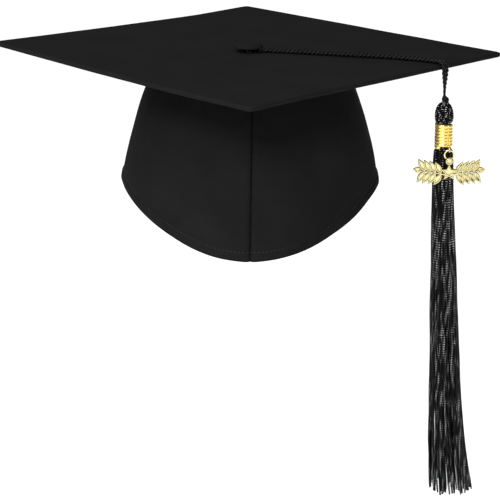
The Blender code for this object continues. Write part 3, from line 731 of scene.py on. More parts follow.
def twisted(name, paths, look, yarn, seed, radii=None):
    # a lobed strand along each path
    inputs = {"Radius": look["radius"] * mm, "Twist length": look["twistLength"] * mm,
              "Step": look["step"] * mm, "Plies": 2, "Waist": look["waist"], "Sides": look["sides"],
              "Seed": seed, "Material": yarn}
    return grow(name, pathCurve(name, paths, radii), twistTree, inputs)


def roundWire(name, path, radius, step, sides, closed=False):
    # smooth wire along one path
    inputs = {"Radius": radius * mm, "Twist length": 1.0, "Step": step * mm, "Plies": 2, "Waist": 1.0,
              "Sides": sides, "Seed": 2, "Material": charmGold}
    return grow(name, pathCurve(name, [path], closed=closed), twistTree, inputs)


def ovalWire(name, path, halfWidth, halfHeight, sides):
    # wire along one path, its section kept level
    inputs = {"Half width": halfWidth * mm, "Half height": halfHeight * mm, "Sides": sides,
              "Material": bandGold}
    return grow(name, pathCurve(name, [path]), wireTree, inputs)


twistTree = makeTwistTree()
wireTree = makeWireTree()
stitchTree = makeStitchTree()
print("node trees made")


# ---- cord: one twisted cord doubled into two strands, looped round the button's shank

cord = {"radius": 1.5, "side": 1.45, "height": 1.5, "liftReach": 11.5, "eyeRadius": 3.3,
        "bendRadius": 3.0, "bendStart": 0.8, "dropLength": 20.9, "closing": 0.6, "lean": -0.25,
        "taper": 0.4, "twistLength": 5.8, "waist": 0.45, "step": 0.4, "sides": 16}
crossing = jointAt["tassel_swing"].xy.to_3d() + edgeOut * cord["bendStart"] * mm
runOut = crossing.normalized()
runSide = Vector((-runOut.y, runOut.x, 0))


def runPoint(out, side):
    # on the board: how far out from the button, and how far to the back
    return (runOut * out + runSide * side) * mm


def cordRoute():
    # the doubled cord's middle line on the board, up to the fold over its edge
    fold = crossing - edgeOut * (cord["bendStart"] + 0.15) * mm
    knots = [runPoint(cord["liftReach"] + 0.15, 0), runPoint(40, 3.0), runPoint(70, 5.6),
             runPoint(100, 7.2), crossing - edgeOut * 9 * mm, fold]
    return smoothPath(knots, 4 * mm)


def strandPath(side):
    # one strand: along the board, over the edge, and down to the knot with the two strands closing up
    lift = Vector((0, 0, boardTop + cord["height"] * mm))
    middle = cordRoute()
    ways = [(b - a).normalized() for a, b in zip(middle, middle[1:])] + [edgeOut]
    ways[0] = runOut
    path = []
    for i, (point, way) in enumerate(zip(middle, ways)):
        away = Vector((-way.y, way.x, 0)) * side
        path.append(point + away * cord["side"] * mm + lift)
    radius = cord["bendRadius"]
    centre = crossing - edgeOut * cord["bendStart"] * mm + lift - Vector((0, 0, radius * mm))
    for i in range(1, 7):
        turn = math.pi / 2 * i / 6
        bend = edgeOut * math.sin(turn) + Vector((0, 0, math.cos(turn)))
        path.append(centre + bend * radius * mm + edgeAlong * side * cord["side"] * mm)
    top = centre + edgeOut * radius * mm
    drop = cord["dropLength"] * mm - (boardTop - top.z)
    for i in range(1, 9):
        share = i / 8
        turn = math.radians(45 + 45 * smoothStep(0, 1, share))
        apart = aroundCentre(turn, side * (cord["side"] - cord["closing"] * share) * mm)
        path.append(top + apart + Vector((cord["lean"] * share * mm, 0, -drop * share)))
    return path


def pathLength(path):
    return sum((b - a).length for a, b in zip(path, path[1:]))


def makeCord():
    eyeTurns = [math.radians(50 + 260 * i / 20) for i in range(21)]
    lift = Vector((0, 0, boardTop + cord["height"] * mm))
    ring = [runPoint(cord["eyeRadius"] * math.cos(t), cord["eyeRadius"] * math.sin(t)) for t in eyeTurns]
    lead = [(cord["liftReach"] + 0.3, cord["side"]), (7.5, cord["side"] + 0.2), (4.4, cord["side"] + 0.8)]
    route = [*[runPoint(out, side) for out, side in lead], *ring,
             *[runPoint(out, -side) for out, side in reversed(lead)]]
    eye = twisted("cordEye", [[point + lift for point in route]], cord, cordYarn, 3)
    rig.slot(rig.ride(eye, "cord_loop"), "braid")
    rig.replaces(eye, "cord_eye")
    strands = {}
    foldAt = jointAt["tassel_swing"]
    for word, side in (("Back", 1), ("Front", -1)):
        path = strandPath(side)
        last = len(path) - 1
        taper = [1 - cord["taper"] * smoothStep(last - 8, last, i) for i in range(last + 1)]
        strand = twisted("cord" + word, [path], cord, cordYarn, 5 + side, [taper])
        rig.blend(strand, "cord_run", "cord_drop", start=foldAt - edgeOut * 1.5 * mm,
                 end=foldAt + Vector((1.44, -1.44, -1.92)) * mm)
        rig.slot(strand, "braid")
        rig.replaces(strand, "cord_run_" + word.lower(), "cord_drop_" + word.lower())
        strands[word] = (strand, path)
    return eye, strands


cordEye, strands = makeCord()


def makeKnot():
    # the cord's two ends wound round each other above the head, and down into it
    centre = fromTassel(0, 0, -22.0)
    wound = []
    for i in range(37):
        share = i / 36
        polar = math.radians(38 + 100 * share)
        turn = math.radians(200 + 800 * share)
        wound.append(centre + Vector((math.sin(polar) * math.cos(turn), math.sin(polar) * math.sin(turn),
                                      math.cos(polar) * 1.1)) * 1.15 * mm)
    right = [(0.1, 0.5, -21.2), (1.0, 0.1, -22.2), (1.75, -0.3, -23.6), (1.35, -0.3, -24.9),
             (0.6, 0, -26.5)]
    left = [(-0.3, -0.5, -21.2), (-0.6, -0.6, -22.6), (-0.5, -0.4, -24.2), (-0.4, 0, -26.5)]
    paths = [wound]
    for knots in (right, left):
        paths.append(smoothPath([fromTassel(*point) for point in knots], 0.6 * mm))
    radii = [[0.7] * len(wound), [1.05] * len(paths[1]), [0.85] * len(paths[2])]
    knot = twisted("cordKnot", paths, cord, cordYarn, 9, radii)
    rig.slot(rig.ride(knot, "knot"), "braid")
    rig.replaces(knot, "cord_knot")
    return knot


cordKnot = makeKnot()
for word, other in (("Back", cordEye), ("Front", cordKnot)):
    strand, path = strands[word]
    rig.cord(strand, exit=path[0], length=pathLength(path), diameter=2 * cord["radius"] * mm,
            far_end="object", stiffness="limp", lay="hanging", path=path, with_pieces=[other])
print("cord made, each strand", round(pathLength(strands["Back"][1]) / mm, 1), "mm long")


# ---- board: card between two cloth covers

board = {"droop": 0.5, "droopFrom": 0.8, "lift": 6.2, "liftFrom": 0.2, "cornerRounding": 2.4,
         "edgeDepth": 1.5, "coverThickness": 0.45, "rim": 12, "pucker": 0.16, "puckerSize": 45.0,
         "dip": 0.5, "dipRadius": 15.0, "roundOut": 0.6, "roundDown": 0.8}
halfSide = cornerReach / math.sqrt(2)


def boardShape(point):
    # the front corner hangs a little, the left one is bent up, and the cloth is never quite flat
    ahead = min(1, max(0, (-point.y / cornerReach - board["droopFrom"]) / (1 - board["droopFrom"])))
    aside = max(0, (-point.x / cornerReach - board["liftFrom"]) / (1 - board["liftFrom"]))
    soft = noise.noise(Vector((point.x, point.y, 0)) / (board["puckerSize"] * mm))
    rise = board["lift"] * aside ** 1.2 - board["droop"] * ahead ** 2
    return (rise + board["pucker"] * soft) * mm


def squarePoint(u, v, side, rounding):
    # u and v from -1 to 1 on a square of that half side, its corners rounded, turned 45 degrees
    x, y = u * side, v * side
    inner = side - rounding
    ax, ay = abs(x) - inner, abs(y) - inner
    if ax > 0 and ay > 0:
        reach = max(ax, ay) / math.hypot(ax, ay)
        x = math.copysign(inner + ax * reach, x)
        y = math.copysign(inner + ay * reach, y)
    turn = math.radians(45)
    return Vector((x * math.cos(turn) - y * math.sin(turn), x * math.sin(turn) + y * math.cos(turn), 0))


def makeBoardCover():
    rim = board["rim"]
    cells = 64
    height = boardHigh.z - boardLow.z
    half = height / 2
    deep = board["edgeDepth"] * mm

    def place(u, v):
        # the middle cells lie flat, the outer rings bend round the edge
        u, v = 2 * u - 1, 2 * v - 1
        ring = max(abs(u), abs(v)) * (cells / 2 + rim)
        if ring <= cells / 2:
            spread = ring / (cells / 2)
            side = (halfSide - deep) * spread
            level = 0
        else:
            turn = math.pi * (ring - cells / 2) / rim
            side = halfSide - deep + deep * abs(math.sin(turn)) ** board["roundOut"]
            fall = math.cos(turn)
            level = -half + half * math.copysign(abs(fall) ** board["roundDown"], fall)
        reach = max(abs(u), abs(v), 1e-9)
        point = squarePoint(u / reach, v / reach, side, min(side, board["cornerRounding"] * mm))
        spot = math.hypot(point.x, point.y) / (board["dipRadius"] * mm)
        dip = board["dip"] * mm * math.exp(-spot ** 2 * 2) if ring <= cells / 2 else 0
        return point + Vector((0, 0, boardTop + level - dip + boardShape(point)))

    count = cells + 2 * rim
    flatSide = 2 * halfSide + 2 * height
    mesh = sheetMesh("boardCoverTop", count, count, place, lambda u, v: (u * flatSide, v * flatSide))
    cover = addObject("boardCoverTop", mesh, boardCloth)
    thicken(cover, board["coverThickness"])
    applyModifiers(cover)
    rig.slot(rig.ride(cover, "cap"), "cloth")
    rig.replaces(cover, "board_cover_top")
    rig.sheet(cover, flat=(flatSide, flatSide), held="stretched", rests_on=["boardCard"])


def plate(name, side, low, high, material, soft=0.0):
    # a flat square layer that follows the board's shape, with eased edges
    def place(u, v):
        u, v = 2 * u - 1, 2 * v - 1
        point = squarePoint(u, v, side, board["cornerRounding"] * mm)
        inset = soft * mm * smoothStep(0.97, 1, max(abs(u), abs(v)))
        return point + Vector((0, 0, high - inset + boardShape(point)))

    mesh = sheetMesh(name, 40, 40, place, lambda u, v: (2 * u * side, 2 * v * side))
    piece = addObject(name, mesh, material)
    thicken(piece, (high - low) / mm)
    soften(piece, (high - low) * 0.225)
    applyModifiers(piece)
    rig.ride(piece, "cap")
    return piece


def makeBoard():
    coreLow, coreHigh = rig.box("board_core")
    card = plate("boardCard", halfSide - 2.2 * mm, coreLow.z, coreHigh.z, cardStock)
    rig.slot(card, "card")
    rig.replaces(card, "board_core")
    makeBoardCover()
    underLow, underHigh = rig.box("board_cover_underside")
    under = plate("boardCoverUnderside", halfSide - 1.7 * mm, underLow.z, underHigh.z, boardCloth, 0.1)
    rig.slot(under, "cloth")
    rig.replaces(under, "board_cover_underside")
    side = 2 * (halfSide - 1.7 * mm)
    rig.sheet(under, flat=(side, side), held="stretched", rests_on=["boardCard"])


makeBoard()
print("board made")


# ---- skullcap: two panels seamed down the front and back, a turned-up hem and elastic behind

wall = {"halfWidth": 62.0, "halfDepth": 66.3, "spread": 0.455, "widthCurve": 0.0019,
        "depthSpread": 0.336, "depthCurve": 0.0006, "topDepth": 3.6, "thickness": 0.8,
        "ridgeTop": 3.7, "ridgeHem": 1.8, "ridgeHalf": 35.0, "hemSide": 86.5, "hemFront": 32.0,
        "hemBack": 6.0, "hemPower": 2.05, "lean": 0.9, "aside": 1.3}
drape = {"wave": 1.3, "waveSize": 42.0, "crease": 0.35, "creaseSize": 16.0, "seamWidth": 3.3,
         "seamDepth": 1.9, "pucker": 0.4, "puckerSize": 9.0, "puckerReach": 11.0, "hemHeight": 5.6,
         "hemRise": 0.8, "gather": 1.0, "gatherSize": 8.5, "gatherFade": 15.0,
         "grooveDepth": 0.55, "grooveWidth": 0.7}
folds = [  # where round the cap in degrees, how wide in degrees, how far out in millimetres
    (103, 8, 1.0), (124, 9, -1.1), (150, 11, -0.6), (74, 9, 0.6), (52, 9, -0.7), (26, 12, -0.6)]
elasticSpan = (205, 335)
elasticRise = 12.5  # its middle above the hem
elasticHalf = 5
elasticStitch = 3.2  # each row of stitches from its middle


def wallPoint(turn, depth, out=0.0, shift=0.0):
    # turn is 0 at the right side and 90 degrees in front; depth counts down from the board's top
    fall = depth - wall["topDepth"]
    halfWidth = wall["halfWidth"] + wall["spread"] * fall - wall["widthCurve"] * fall ** 2
    halfDepth = wall["halfDepth"] + wall["depthSpread"] * fall - wall["depthCurve"] * fall ** 2
    x, y = halfWidth * math.cos(turn), -halfDepth * math.sin(turn)
    if y < 0:
        share = fall / (wall["hemSide"] + wall["hemFront"] - wall["topDepth"])
        ridge = wall["ridgeTop"] + (wall["ridgeHem"] - wall["ridgeTop"]) * share
        y -= ridge * max(0, 1 - abs(x) / wall["ridgeHalf"]) ** 2
    reach = math.hypot(x, y)
    grown = (reach + out) / reach
    shift += wall["aside"] + wall["lean"] * (1 - fall / 90)
    return Vector((x * grown + shift, y * grown, boardTop / mm - depth)) * mm


def hemDepth(turn):
    drop = wall["hemFront"] if math.sin(turn) > 0 else wall["hemBack"]
    return wall["hemSide"] + drop * abs(math.sin(turn)) ** wall["hemPower"]


def atElastic(turn):
    # 1 over the elastic, fading to 0 at its ends
    degrees = math.degrees(turn) % 360
    return smoothStep(elasticSpan[0] - 4, elasticSpan[0] + 14, degrees) * \
        (1 - smoothStep(elasticSpan[1] - 14, elasticSpan[1] + 4, degrees))


def relief(turn, depth):
    # how far the cloth stands out from the plain wall
    degrees = math.degrees(turn) % 360
    point = wallPoint(turn, depth) / mm
    hem = hemDepth(turn)
    free = smoothStep(wall["topDepth"], wall["topDepth"] + 14, depth)
    out = drape["wave"] * noise.noise(point / drape["waveSize"])
    out += drape["crease"] * noise.noise(point / drape["creaseSize"] + Vector((7, 3, 1)))
    for centre, width, rise in folds:
        out += rise * math.exp(-((degrees - centre) / width) ** 2)
    beside = abs(math.cos(turn)) * 75
    phase = depth / drape["puckerSize"] + 1.3 * noise.noise(Vector((depth / 30, 0, beside / 30)))
    out += drape["pucker"] * math.sin(turnOf * phase) * math.exp(-beside / drape["puckerReach"])
    out *= free
    pull = atElastic(turn)
    if pull > 0:
        arc = math.radians(degrees) * 90 / drape["gatherSize"]
        ripple = math.sin(turnOf * (arc + 0.7 * noise.noise(Vector((arc * 0.35, 0, 5)))))
        near = math.exp(-((hem - elasticRise - depth) / drape["gatherFade"]) ** 2)
        out += pull * drape["gather"] * (ripple * (0.35 + 0.65 * near) * near - 0.6 * near)
    above = hem - depth
    out += drape["hemRise"] * (1 - smoothStep(drape["hemHeight"] - 0.9, drape["hemHeight"] + 0.2, above))
    out -= drape["grooveDepth"] * math.exp(-((above - drape["hemHeight"]) / drape["grooveWidth"]) ** 2)
    return out


def seamTuck(turn):
    # both panels turn in where they are sewn together, in front and behind
    distance = abs(math.cos(turn)) * 70
    return drape["seamDepth"] * max(0, 1 - distance / drape["seamWidth"]) ** 2


def makePanel(word, side):
    columns, rows = 190, 52

    def turnAt(u):
        # from the back seam round to the front seam, closer together near both
        share = 0.5 - 0.5 * math.cos(math.pi * u)
        share = 0.62 * u + 0.38 * share
        return math.radians(-90 + 180 * share) if side > 0 else math.radians(270 - 180 * share)

    def depthAt(u, v):
        share = 1 - v
        whole = hemDepth(turnAt(u)) - wall["topDepth"]
        return wall["topDepth"] + whole * (0.75 * share + 0.25 * (1 - (1 - share) ** 2))

    # faces of the turned-up hem take the hem's copy of the cloth, with its painted sheen
    def paint(u, v):
        return 1 if hemDepth(turnAt(u)) - depthAt(u, v) < drape["hemHeight"] - 0.6 else 0

    def place(u, v):
        turn = turnAt(u)
        depth = depthAt(u, v)
        out = relief(turn, depth) - seamTuck(turn)
        return wallPoint(turn, depth, out, side * 0.03)

    def flat(u, v):
        turn = turnAt(u)
        return (turn * 86 * mm, (1 - v) * hemDepth(turn) * mm)

    name = "capPanel" + word
    mesh = sheetMesh(name, columns, rows, place, flat, reverse=side > 0, paint=paint)
    panel = addObject(name, mesh, capCloth, hemCloth)
    thicken(panel, wall["thickness"])
    applyModifiers(panel)
    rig.slot(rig.ride(panel, "cap"), "cloth")
    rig.replaces(panel, "cap_panel_" + word.lower())
    return panel


def strip(name, span, top, bottom, inset, thickness, columns, rows, material):
    # a band inside the wall, following its cloth; span in degrees
    def place(u, v):
        turn = math.radians(span[0] + (span[1] - span[0]) * u)
        depth = bottom(turn) + (top(turn) - bottom(turn)) * v
        out = relief(turn, depth) * 0.85 - max(0, seamTuck(turn) - 0.4) - inset
        return wallPoint(turn, depth, out)

    def flat(u, v):
        turn = math.radians(span[0] + (span[1] - span[0]) * u)
        return (turn * 88 * mm, v * (bottom(turn) - top(turn)) * mm)

    whole = span[1] - span[0] == 360
    mesh = sheetMesh(name, columns, rows, place, flat, 1e-6 if whole else 0, reverse=True)
    piece = addObject(name, mesh, material)
    thicken(piece, thickness)
    applyModifiers(piece)
    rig.ride(piece, "cap")
    return piece


def stitchRow(name, span, above, out, closed):
    # stitches along a line a set height above the hem
    count = 240
    path = []
    for i in range(count if closed else count + 1):
        turn = math.radians(span[0] + (span[1] - span[0]) * i / count)
        depth = hemDepth(turn) - above
        path.append(wallPoint(turn, depth, relief(turn, depth) - seamTuck(turn) + out))
    return grow(name, pathCurve(name, [path], closed=closed), stitchTree, {
        "Spacing": 2.7 * mm, "Stitch length": 2.1 * mm, "Thickness": 0.6 * mm, "Material": threadYarn})


def makeSkullcap():
    panels = [makePanel(word, side) for word, side in (("Right", 1), ("Left", -1))]
    inside = wall["thickness"] + 0.25
    facing = strip("hemFacing", (-90, 270), lambda turn: hemDepth(turn) - drape["hemHeight"] - 0.6,
                   lambda turn: hemDepth(turn) - 0.25, inside, 0.5, 380, 3, capCloth)
    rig.slot(facing, "cloth")
    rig.replaces(facing, "hem_facing")
    elastic = strip("elasticBand", elasticSpan, lambda turn: hemDepth(turn) - elasticRise - elasticHalf,
                    lambda turn: hemDepth(turn) - elasticRise + elasticHalf, inside, 0.7, 190, 6,
                    elasticWeb)
    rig.slot(elastic, "elastic")
    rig.replaces(elastic, "elastic_band")
    rows = []
    for name, span, above, out, closed in (
            ("hemStitches", (-90, 270), drape["hemHeight"], 0.5, True),
            ("elasticStitchesUpper", elasticSpan, elasticRise + elasticStitch, 0.1, False),
            ("elasticStitchesLower", elasticSpan, elasticRise - elasticStitch, 0.1, False)):
        row = stitchRow(name, span, above, out, closed)
        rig.slot(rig.ride(row, "cap"), "cloth")
        rows.append(row)
    for name, middle in (("seamAllowanceFront", 90), ("seamAllowanceBack", 270)):
        tape = strip(name, (middle - 7, middle + 7), lambda turn: wall["topDepth"] + 1,
                     lambda turn: hemDepth(turn) - 0.6, wall["thickness"], 0.7, 14, 40, capCloth)
        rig.slot(tape, "cloth")
        rows.append(tape)
    half = math.pi * 93 * mm
    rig.sheet(panels[0], flat=(half, 0.118), area=0.0255, held="gathered", rests_on=["crownTop"],
             with_pieces=[facing, *rows])
    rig.sheet(panels[1], flat=(half, 0.118), area=0.0255, held="gathered", rests_on=["crownTop"])
    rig.sheet(elastic, flat=(0.2, 0.0101), held="stretched", rests_on=["capPanelLeft", "capPanelRight"])


makeSkullcap()


def makeCrown():
    # the cap's flat top, sewn to the wall all round; its cloth is seen from inside
    low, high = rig.box("crown_top")

    def place(u, v):
        x, y = 2 * u - 1, 2 * v - 1
        reach = max(abs(x), abs(y))
        shrink = reach / math.hypot(x, y) if reach > 0 else 0
        point = Vector((x * shrink * high.x, y * shrink * high.y, 0))
        soft = 0.25 * mm * noise.noise(point / (22 * mm)) * (1 - reach ** 4)
        return point + Vector((0, 0, high.z + soft))

    mesh = sheetMesh("crownTop", 48, 48, place, lambda u, v: (u * 2 * high.x, v * 2 * high.y))
    crown = addObject("crownTop", mesh, liningCloth)
    thicken(crown, (high.z - low.z) / mm)
    applyModifiers(crown)
    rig.slot(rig.ride(crown, "cap"), "lining")
    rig.replaces(crown, "crown_top")
    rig.sheet(crown, flat=(2 * high.x, 2 * high.y), area=math.pi * high.x * high.y, held="stretched",
             rests_on=["boardCoverUnderside"])


makeCrown()
print("skullcap made")


# ---- button: a steel shell covered in the cap's cloth

button = {"pleats": 26, "pleatDepth": 0.14, "clothThickness": 0.28, "tuck": 1.3, "domeShare": 0.86}


def makeButton():
    low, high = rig.box("button_cover")
    radius, rise = high.x, high.z - low.z
    tuck, dome = button["tuck"] * mm, button["domeShare"]

    def place(u, v):
        x, y = 2 * u - 1, 2 * v - 1
        reach = max(abs(x), abs(y))
        turn = math.atan2(y, x)
        folds = math.cos(turn * button["pleats"]) + 0.4 * math.cos(turn * 17 + 1)
        crease = button["pleatDepth"] * mm * folds * smoothStep(0.55, 0.85, reach)
        if reach < dome:
            bend = math.pi / 2 * reach / dome
            out, up = radius * math.sin(bend) ** 0.85, rise * max(0, math.cos(bend)) ** 0.8
        else:
            share = (reach - dome) / (1 - dome)
            out, up = radius - tuck * share, -0.15 * mm * math.sin(math.pi * share)
        out = max(0, out - abs(crease))
        return aroundCentre(turn, out) + Vector((0, 0, low.z + up))

    flatSide = 2 * (radius + rise)
    mesh = sheetMesh("buttonCover", 72, 72, place, lambda u, v: (u * flatSide, v * flatSide))
    cover = addObject("buttonCover", mesh, capCloth)
    thicken(cover, button["clothThickness"])
    applyModifiers(cover)
    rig.slot(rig.ride(cover, "cap"), "cloth")
    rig.replaces(cover, "button_cover")
    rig.sheet(cover, flat=(flatSide, flatSide), area=math.pi / 4 * flatSide ** 2, held="stretched",
             rests_on=["button_shell"])
    for name in ("button_shell", "button_rivet", "rivet_washer"):
        refinish(name, buttonSteel)
    # painted shade: the back disc under the button is drawn black
    refinish("button_back", buttonBackShade)


makeButton()
print("button made")


# ---- tassel: a floss head, a wound wire band and a skirt of twisted strands

tassel = {"headTop": -25.0, "bandTop": -37.9, "bandBottom": -55.6, "bandRadius": 6.0, "bandTurns": 8,
          "bandWire": 0.62, "headStrands": 24, "headThick": 1.15,
          "radius": 0.78, "twistLength": 3.6, "waist": 0.5, "sides": 8, "step": 0.4}  # of a strand
headProfile = [(1.6, 0.3), (3.0, -0.5), (4.6, -2.2), (5.6, -4.6), (6.05, -7.2), (6.1, -9.4), (5.85, -11.4),
               (5.2, -12.8)]
skirt = {"top": -54.0, "end": -294.0, "endWave": 3.0, "endLoose": 1.6, "locks": 5, "lockTurn": 0.07,
         "sway": 0.10, "swaySize": 38.0, "leanTurn": 0.12, "swell": 0.07, "swellSize": 30.0}
skirtLevels = [  # height, radius, shift to the right
    (-54.0, 4.3, 0.0), (-55.6, 4.5, 0.0), (-57.0, 6.4, 0.0), (-62.0, 6.9, 0.1), (-82.0, 7.4, 0.3),
    (-106.0, 8.1, 1.1), (-134.0, 9.0, 2.2), (-162.0, 9.6, 3.1), (-190.0, 10.2, 4.1), (-233.0, 11.4, 5.9),
    (-261.0, 12.8, 7.7), (-275.0, 13.5, 8.9), (-289.0, 14.4, 10.4), (-302.0, 15.1, 11.7)]
skirtLayers = [  # name, strands, share of the radius, step of the sweep, part of the circle in degrees
    ("skirtOuterFront", 17, 1.0, 0.45, (180, 360)), ("skirtOuterBack", 17, 1.0, 0.45, (0, 180)),
    ("skirtMiddle", 30, 0.8, 0.8, (0, 360)), ("skirtInner", 24, 0.5, 1.2, (0, 360)),
    ("skirtHeart", 8, 0.2, 1.6, (0, 360))]


def makeHead():
    profile = [(max(0.4, radius - 0.75), height) for radius, height in headProfile]
    profile = [(0.0, -0.5), *profile, (0.0, -12.8)]
    core = addObject("tasselHead", lathe("tasselHead", profile, 40), headYarn)
    core.data.transform(Matrix.Translation(fromTassel(0, 0, tassel["headTop"])))
    draw = random.Random(11)
    paths, radii = [], []
    knots = smoothPath([Vector((radius, 0, height)) for radius, height in headProfile], 0.7)
    for i in range(tassel["headStrands"]):
        start = turnOf * (i + draw.uniform(-0.2, 0.2)) / tassel["headStrands"]
        swirl = draw.uniform(0.25, 0.45)
        path = []
        for k, knot in enumerate(knots):
            turn = start + swirl * k / len(knots)
            out = max(0.5, knot.x - tassel["radius"] * draw.uniform(0.7, 1.0))
            path.append(fromTassel(out * math.cos(turn), out * math.sin(turn), knot.z + tassel["headTop"]))
        paths.append(path)
        radii.append([tassel["headThick"]] * len(path))
    strandsOver = twisted("headStrands", paths, tassel, headYarn, 21, radii)
    for piece in (core, strandsOver):
        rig.slot(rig.ride(piece, "tassel"), "floss")
    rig.replaces(core, "tassel_head")
    refinish("tassel_core", flossYarn)


def skirtStrand(turn, share, draw):
    # one strand from under the band to its cut end, drawn with its neighbours into loose locks
    wave = noise.noise(Vector((math.cos(turn), math.sin(turn), 4)) * 2)
    end = skirt["end"] + skirt["endWave"] * wave + draw.uniform(-skirt["endLoose"], skirt["endLoose"])
    lean = draw.uniform(-0.5, 0.5)
    curl = draw.uniform(-0.4, 0.8) * (1 if math.cos(turn) > -0.2 else 0.3)
    wander = draw.uniform(0, 50)
    path = []
    count = 72
    for i in range(count + 1):
        height = skirt["top"] + (end - skirt["top"]) * i / count
        radius, shift = between(skirtLevels, height)
        down = i / count
        lock = skirt["lockTurn"] * math.sin(skirt["locks"] * turn + 1.1) * smoothStep(0.35, 1, down)
        sway = skirt["sway"] * noise.noise(Vector((wander, height / skirt["swaySize"], 0)))
        angle = turn + lock + sway * smoothStep(0.02, 0.2, down) + skirt["leanTurn"] * lean * down
        out = (radius - tassel["radius"]) * share
        swell = skirt["swell"] * noise.noise(Vector((wander + 9, height / skirt["swellSize"], 3)))
        out *= 1 + swell * smoothStep(0.03, 0.3, down)
        bow = curl * smoothStep(0.8, 1, down)
        x = shift + (out + bow) * math.cos(angle)
        y = (out + bow * 0.5) * math.sin(angle)
        path.append(fromTassel(x, y, height))
    return path


def makeSkirt():
    draw = random.Random(5)
    for n, (name, count, share, step, span) in enumerate(skirtLayers):
        paths = []
        for i in range(count):
            turn = math.radians(span[0] + (span[1] - span[0]) * (i + draw.uniform(0.3, 0.7)) / count)
            paths.append(skirtStrand(turn, share * draw.uniform(0.94, 1.0), draw))
        layer = twisted(name, paths, dict(tassel, step=step), flossYarn, 31 + n)
        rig.slot(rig.ride(layer, "tassel"), "floss")
        if n == 0:
            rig.replaces(layer, "tassel_skirt")


def makeBand():
    turns = tassel["bandTurns"] - 1
    height = tassel["bandTop"] - tassel["bandBottom"]
    pitch = height / tassel["bandTurns"]
    count = 44 * turns
    path = []
    for i in range(count + 1):
        share = i / count
        turn = math.radians(130) + turnOf * (turns + 0.3) * share
        tuck = 0.9 * (1 - smoothStep(0, 0.012, share) * (1 - smoothStep(0.988, 1, share)))
        out = tassel["bandRadius"] - tassel["bandWire"] - tuck
        level = tassel["bandTop"] - pitch * 0.55 - (height - 1.1 * pitch) * share
        path.append(fromTassel(out * math.cos(turn), out * math.sin(turn), level))
    band = ovalWire("wireBand", path, tassel["bandWire"], pitch / 2, 14)
    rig.slot(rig.ride(band, "tassel"), "gold")
    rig.replaces(band, "wire_band")


makeHead()
makeBand()
makeSkirt()
print("tassel made")


# ---- charm: hook, jump ring, and a star between two laurel sprays

charm = {"hookWire": 0.4, "hookRadius": 1.7, "hookHeight": -54.6, "ringRadius": 3.05, "ringWire": 0.55,
         "thickness": 1.2,
         "edge": 0.3, "rim": 0.8, "slope": 1.1, "floor": 0.3, "reach": 1.9, "starRadius": 6.2,
         "starInner": 0.45, "stemStart": 3.6, "stemLength": 14.6, "stemHeight": -12.6, "stemRise": 2.4,
         "stemEnd": 1.6, "stemThickness": 1.72, "leafPairs": 4, "leafLength": 9.4, "leafWidth": 4.2,
         "leafAngles": (62, -56), "tipLeaf": 5.6, "starAt": -11.4, "starThickness": 1.9, "tabAt": -4.0,
         "tabRadius": 2.5, "tabThickness": 1.45, "bailDrop": 1.7, "bailRadius": 1.3, "bailWire": 0.4}
ringLow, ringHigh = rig.box("jump_ring")
ringCentre = Vector((jointAt["ring_swing"].x, jointAt["ring_swing"].y, (ringLow.z + ringHigh.z) / 2))


def makeHook():
    side = jointAt["ring_swing"].x - tasselAt.x
    reach = tasselAt.y - jointAt["ring_swing"].y
    centre = tasselAt + Vector((side, -reach, charm["hookHeight"] * mm))
    onBand = -math.sqrt(((tassel["bandRadius"] + 0.5) * mm) ** 2 - side ** 2)
    lead = [tasselAt + Vector((side, onBand, z * mm)) for z in (-46.5, -49.5, -51.5, -52.8)]
    lead.append(tasselAt + Vector((side, onBand - 0.5 * mm, -53.7 * mm)))
    loop = []
    for i in range(25):
        turn = math.radians(10 + 310 * i / 24)
        loop.append(centre + Vector((0, math.cos(turn), -math.sin(turn))) * charm["hookRadius"] * mm)
    wire = charm["hookWire"]
    hook = ovalWire("charmHook", smoothPath(lead, 0.4 * mm) + loop, wire, wire, 10)
    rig.slot(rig.ride(hook, "tassel"), "gold")
    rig.replaces(hook, "charm_hook")


def makeRing():
    # a split ring of round wire, its ends a hair apart at the upper left
    path = []
    for i in range(65):
        turn = math.radians(118 + 356.5 * i / 64)
        path.append(ringCentre + Vector((math.cos(turn), 0, math.sin(turn))) * charm["ringRadius"] * mm)
    ring = roundWire("jumpRing", path, charm["ringWire"], 0.3, 14)
    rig.slot(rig.ride(ring, "ring"), "gold")
    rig.replaces(ring, "jump_ring")


def leafOutline(root, angle, length, width, points=9):
    shares = [i / points for i in range(points + 1)]
    half = [(length * share, width / 2 * math.sin(math.pi * share ** 0.85)) for share in shares]
    flat = [*half, *[(x, -z) for x, z in reversed(half[1:-1])]]
    turn = math.radians(angle)
    return [(root[0] + x * math.cos(turn) - z * math.sin(turn),
             root[1] + x * math.sin(turn) + z * math.cos(turn)) for x, z in flat]


def starOutline(centre, radius, inner):
    reaches = [(radius * (inner if i % 2 else 1), math.pi / 2 + math.pi * i / 5) for i in range(10)]
    return [(centre[0] + r * math.cos(t), centre[1] + r * math.sin(t)) for r, t in reaches]


def discOutline(centre, radius, points=28):
    turns = [turnOf * i / points for i in range(points)]
    return [(centre[0] + radius * math.cos(turn), centre[1] + radius * math.sin(turn)) for turn in turns]


def inset(outline, distance):
    # the outline drawn in by a distance, its sharp corners held back a little
    ahead = sum(a[0] * b[1] - b[0] * a[1] for a, b in zip(outline, outline[1:] + outline[:1]))
    way = 1 if ahead > 0 else -1
    moved = []
    for before, here, after in zip(outline[-1:] + outline[:-1], outline, outline[1:] + outline[:1]):
        first = Vector((here[0] - before[0], here[1] - before[1])).normalized()
        second = Vector((after[0] - here[0], after[1] - here[1])).normalized()
        inward = Vector((-first.y - second.y, first.x + second.x)) * way
        sharp = max(0.36, inward.length / 2)
        step = inward.normalized() * distance / sharp
        moved.append((here[0] + step.x, here[1] + step.y))
    return moved


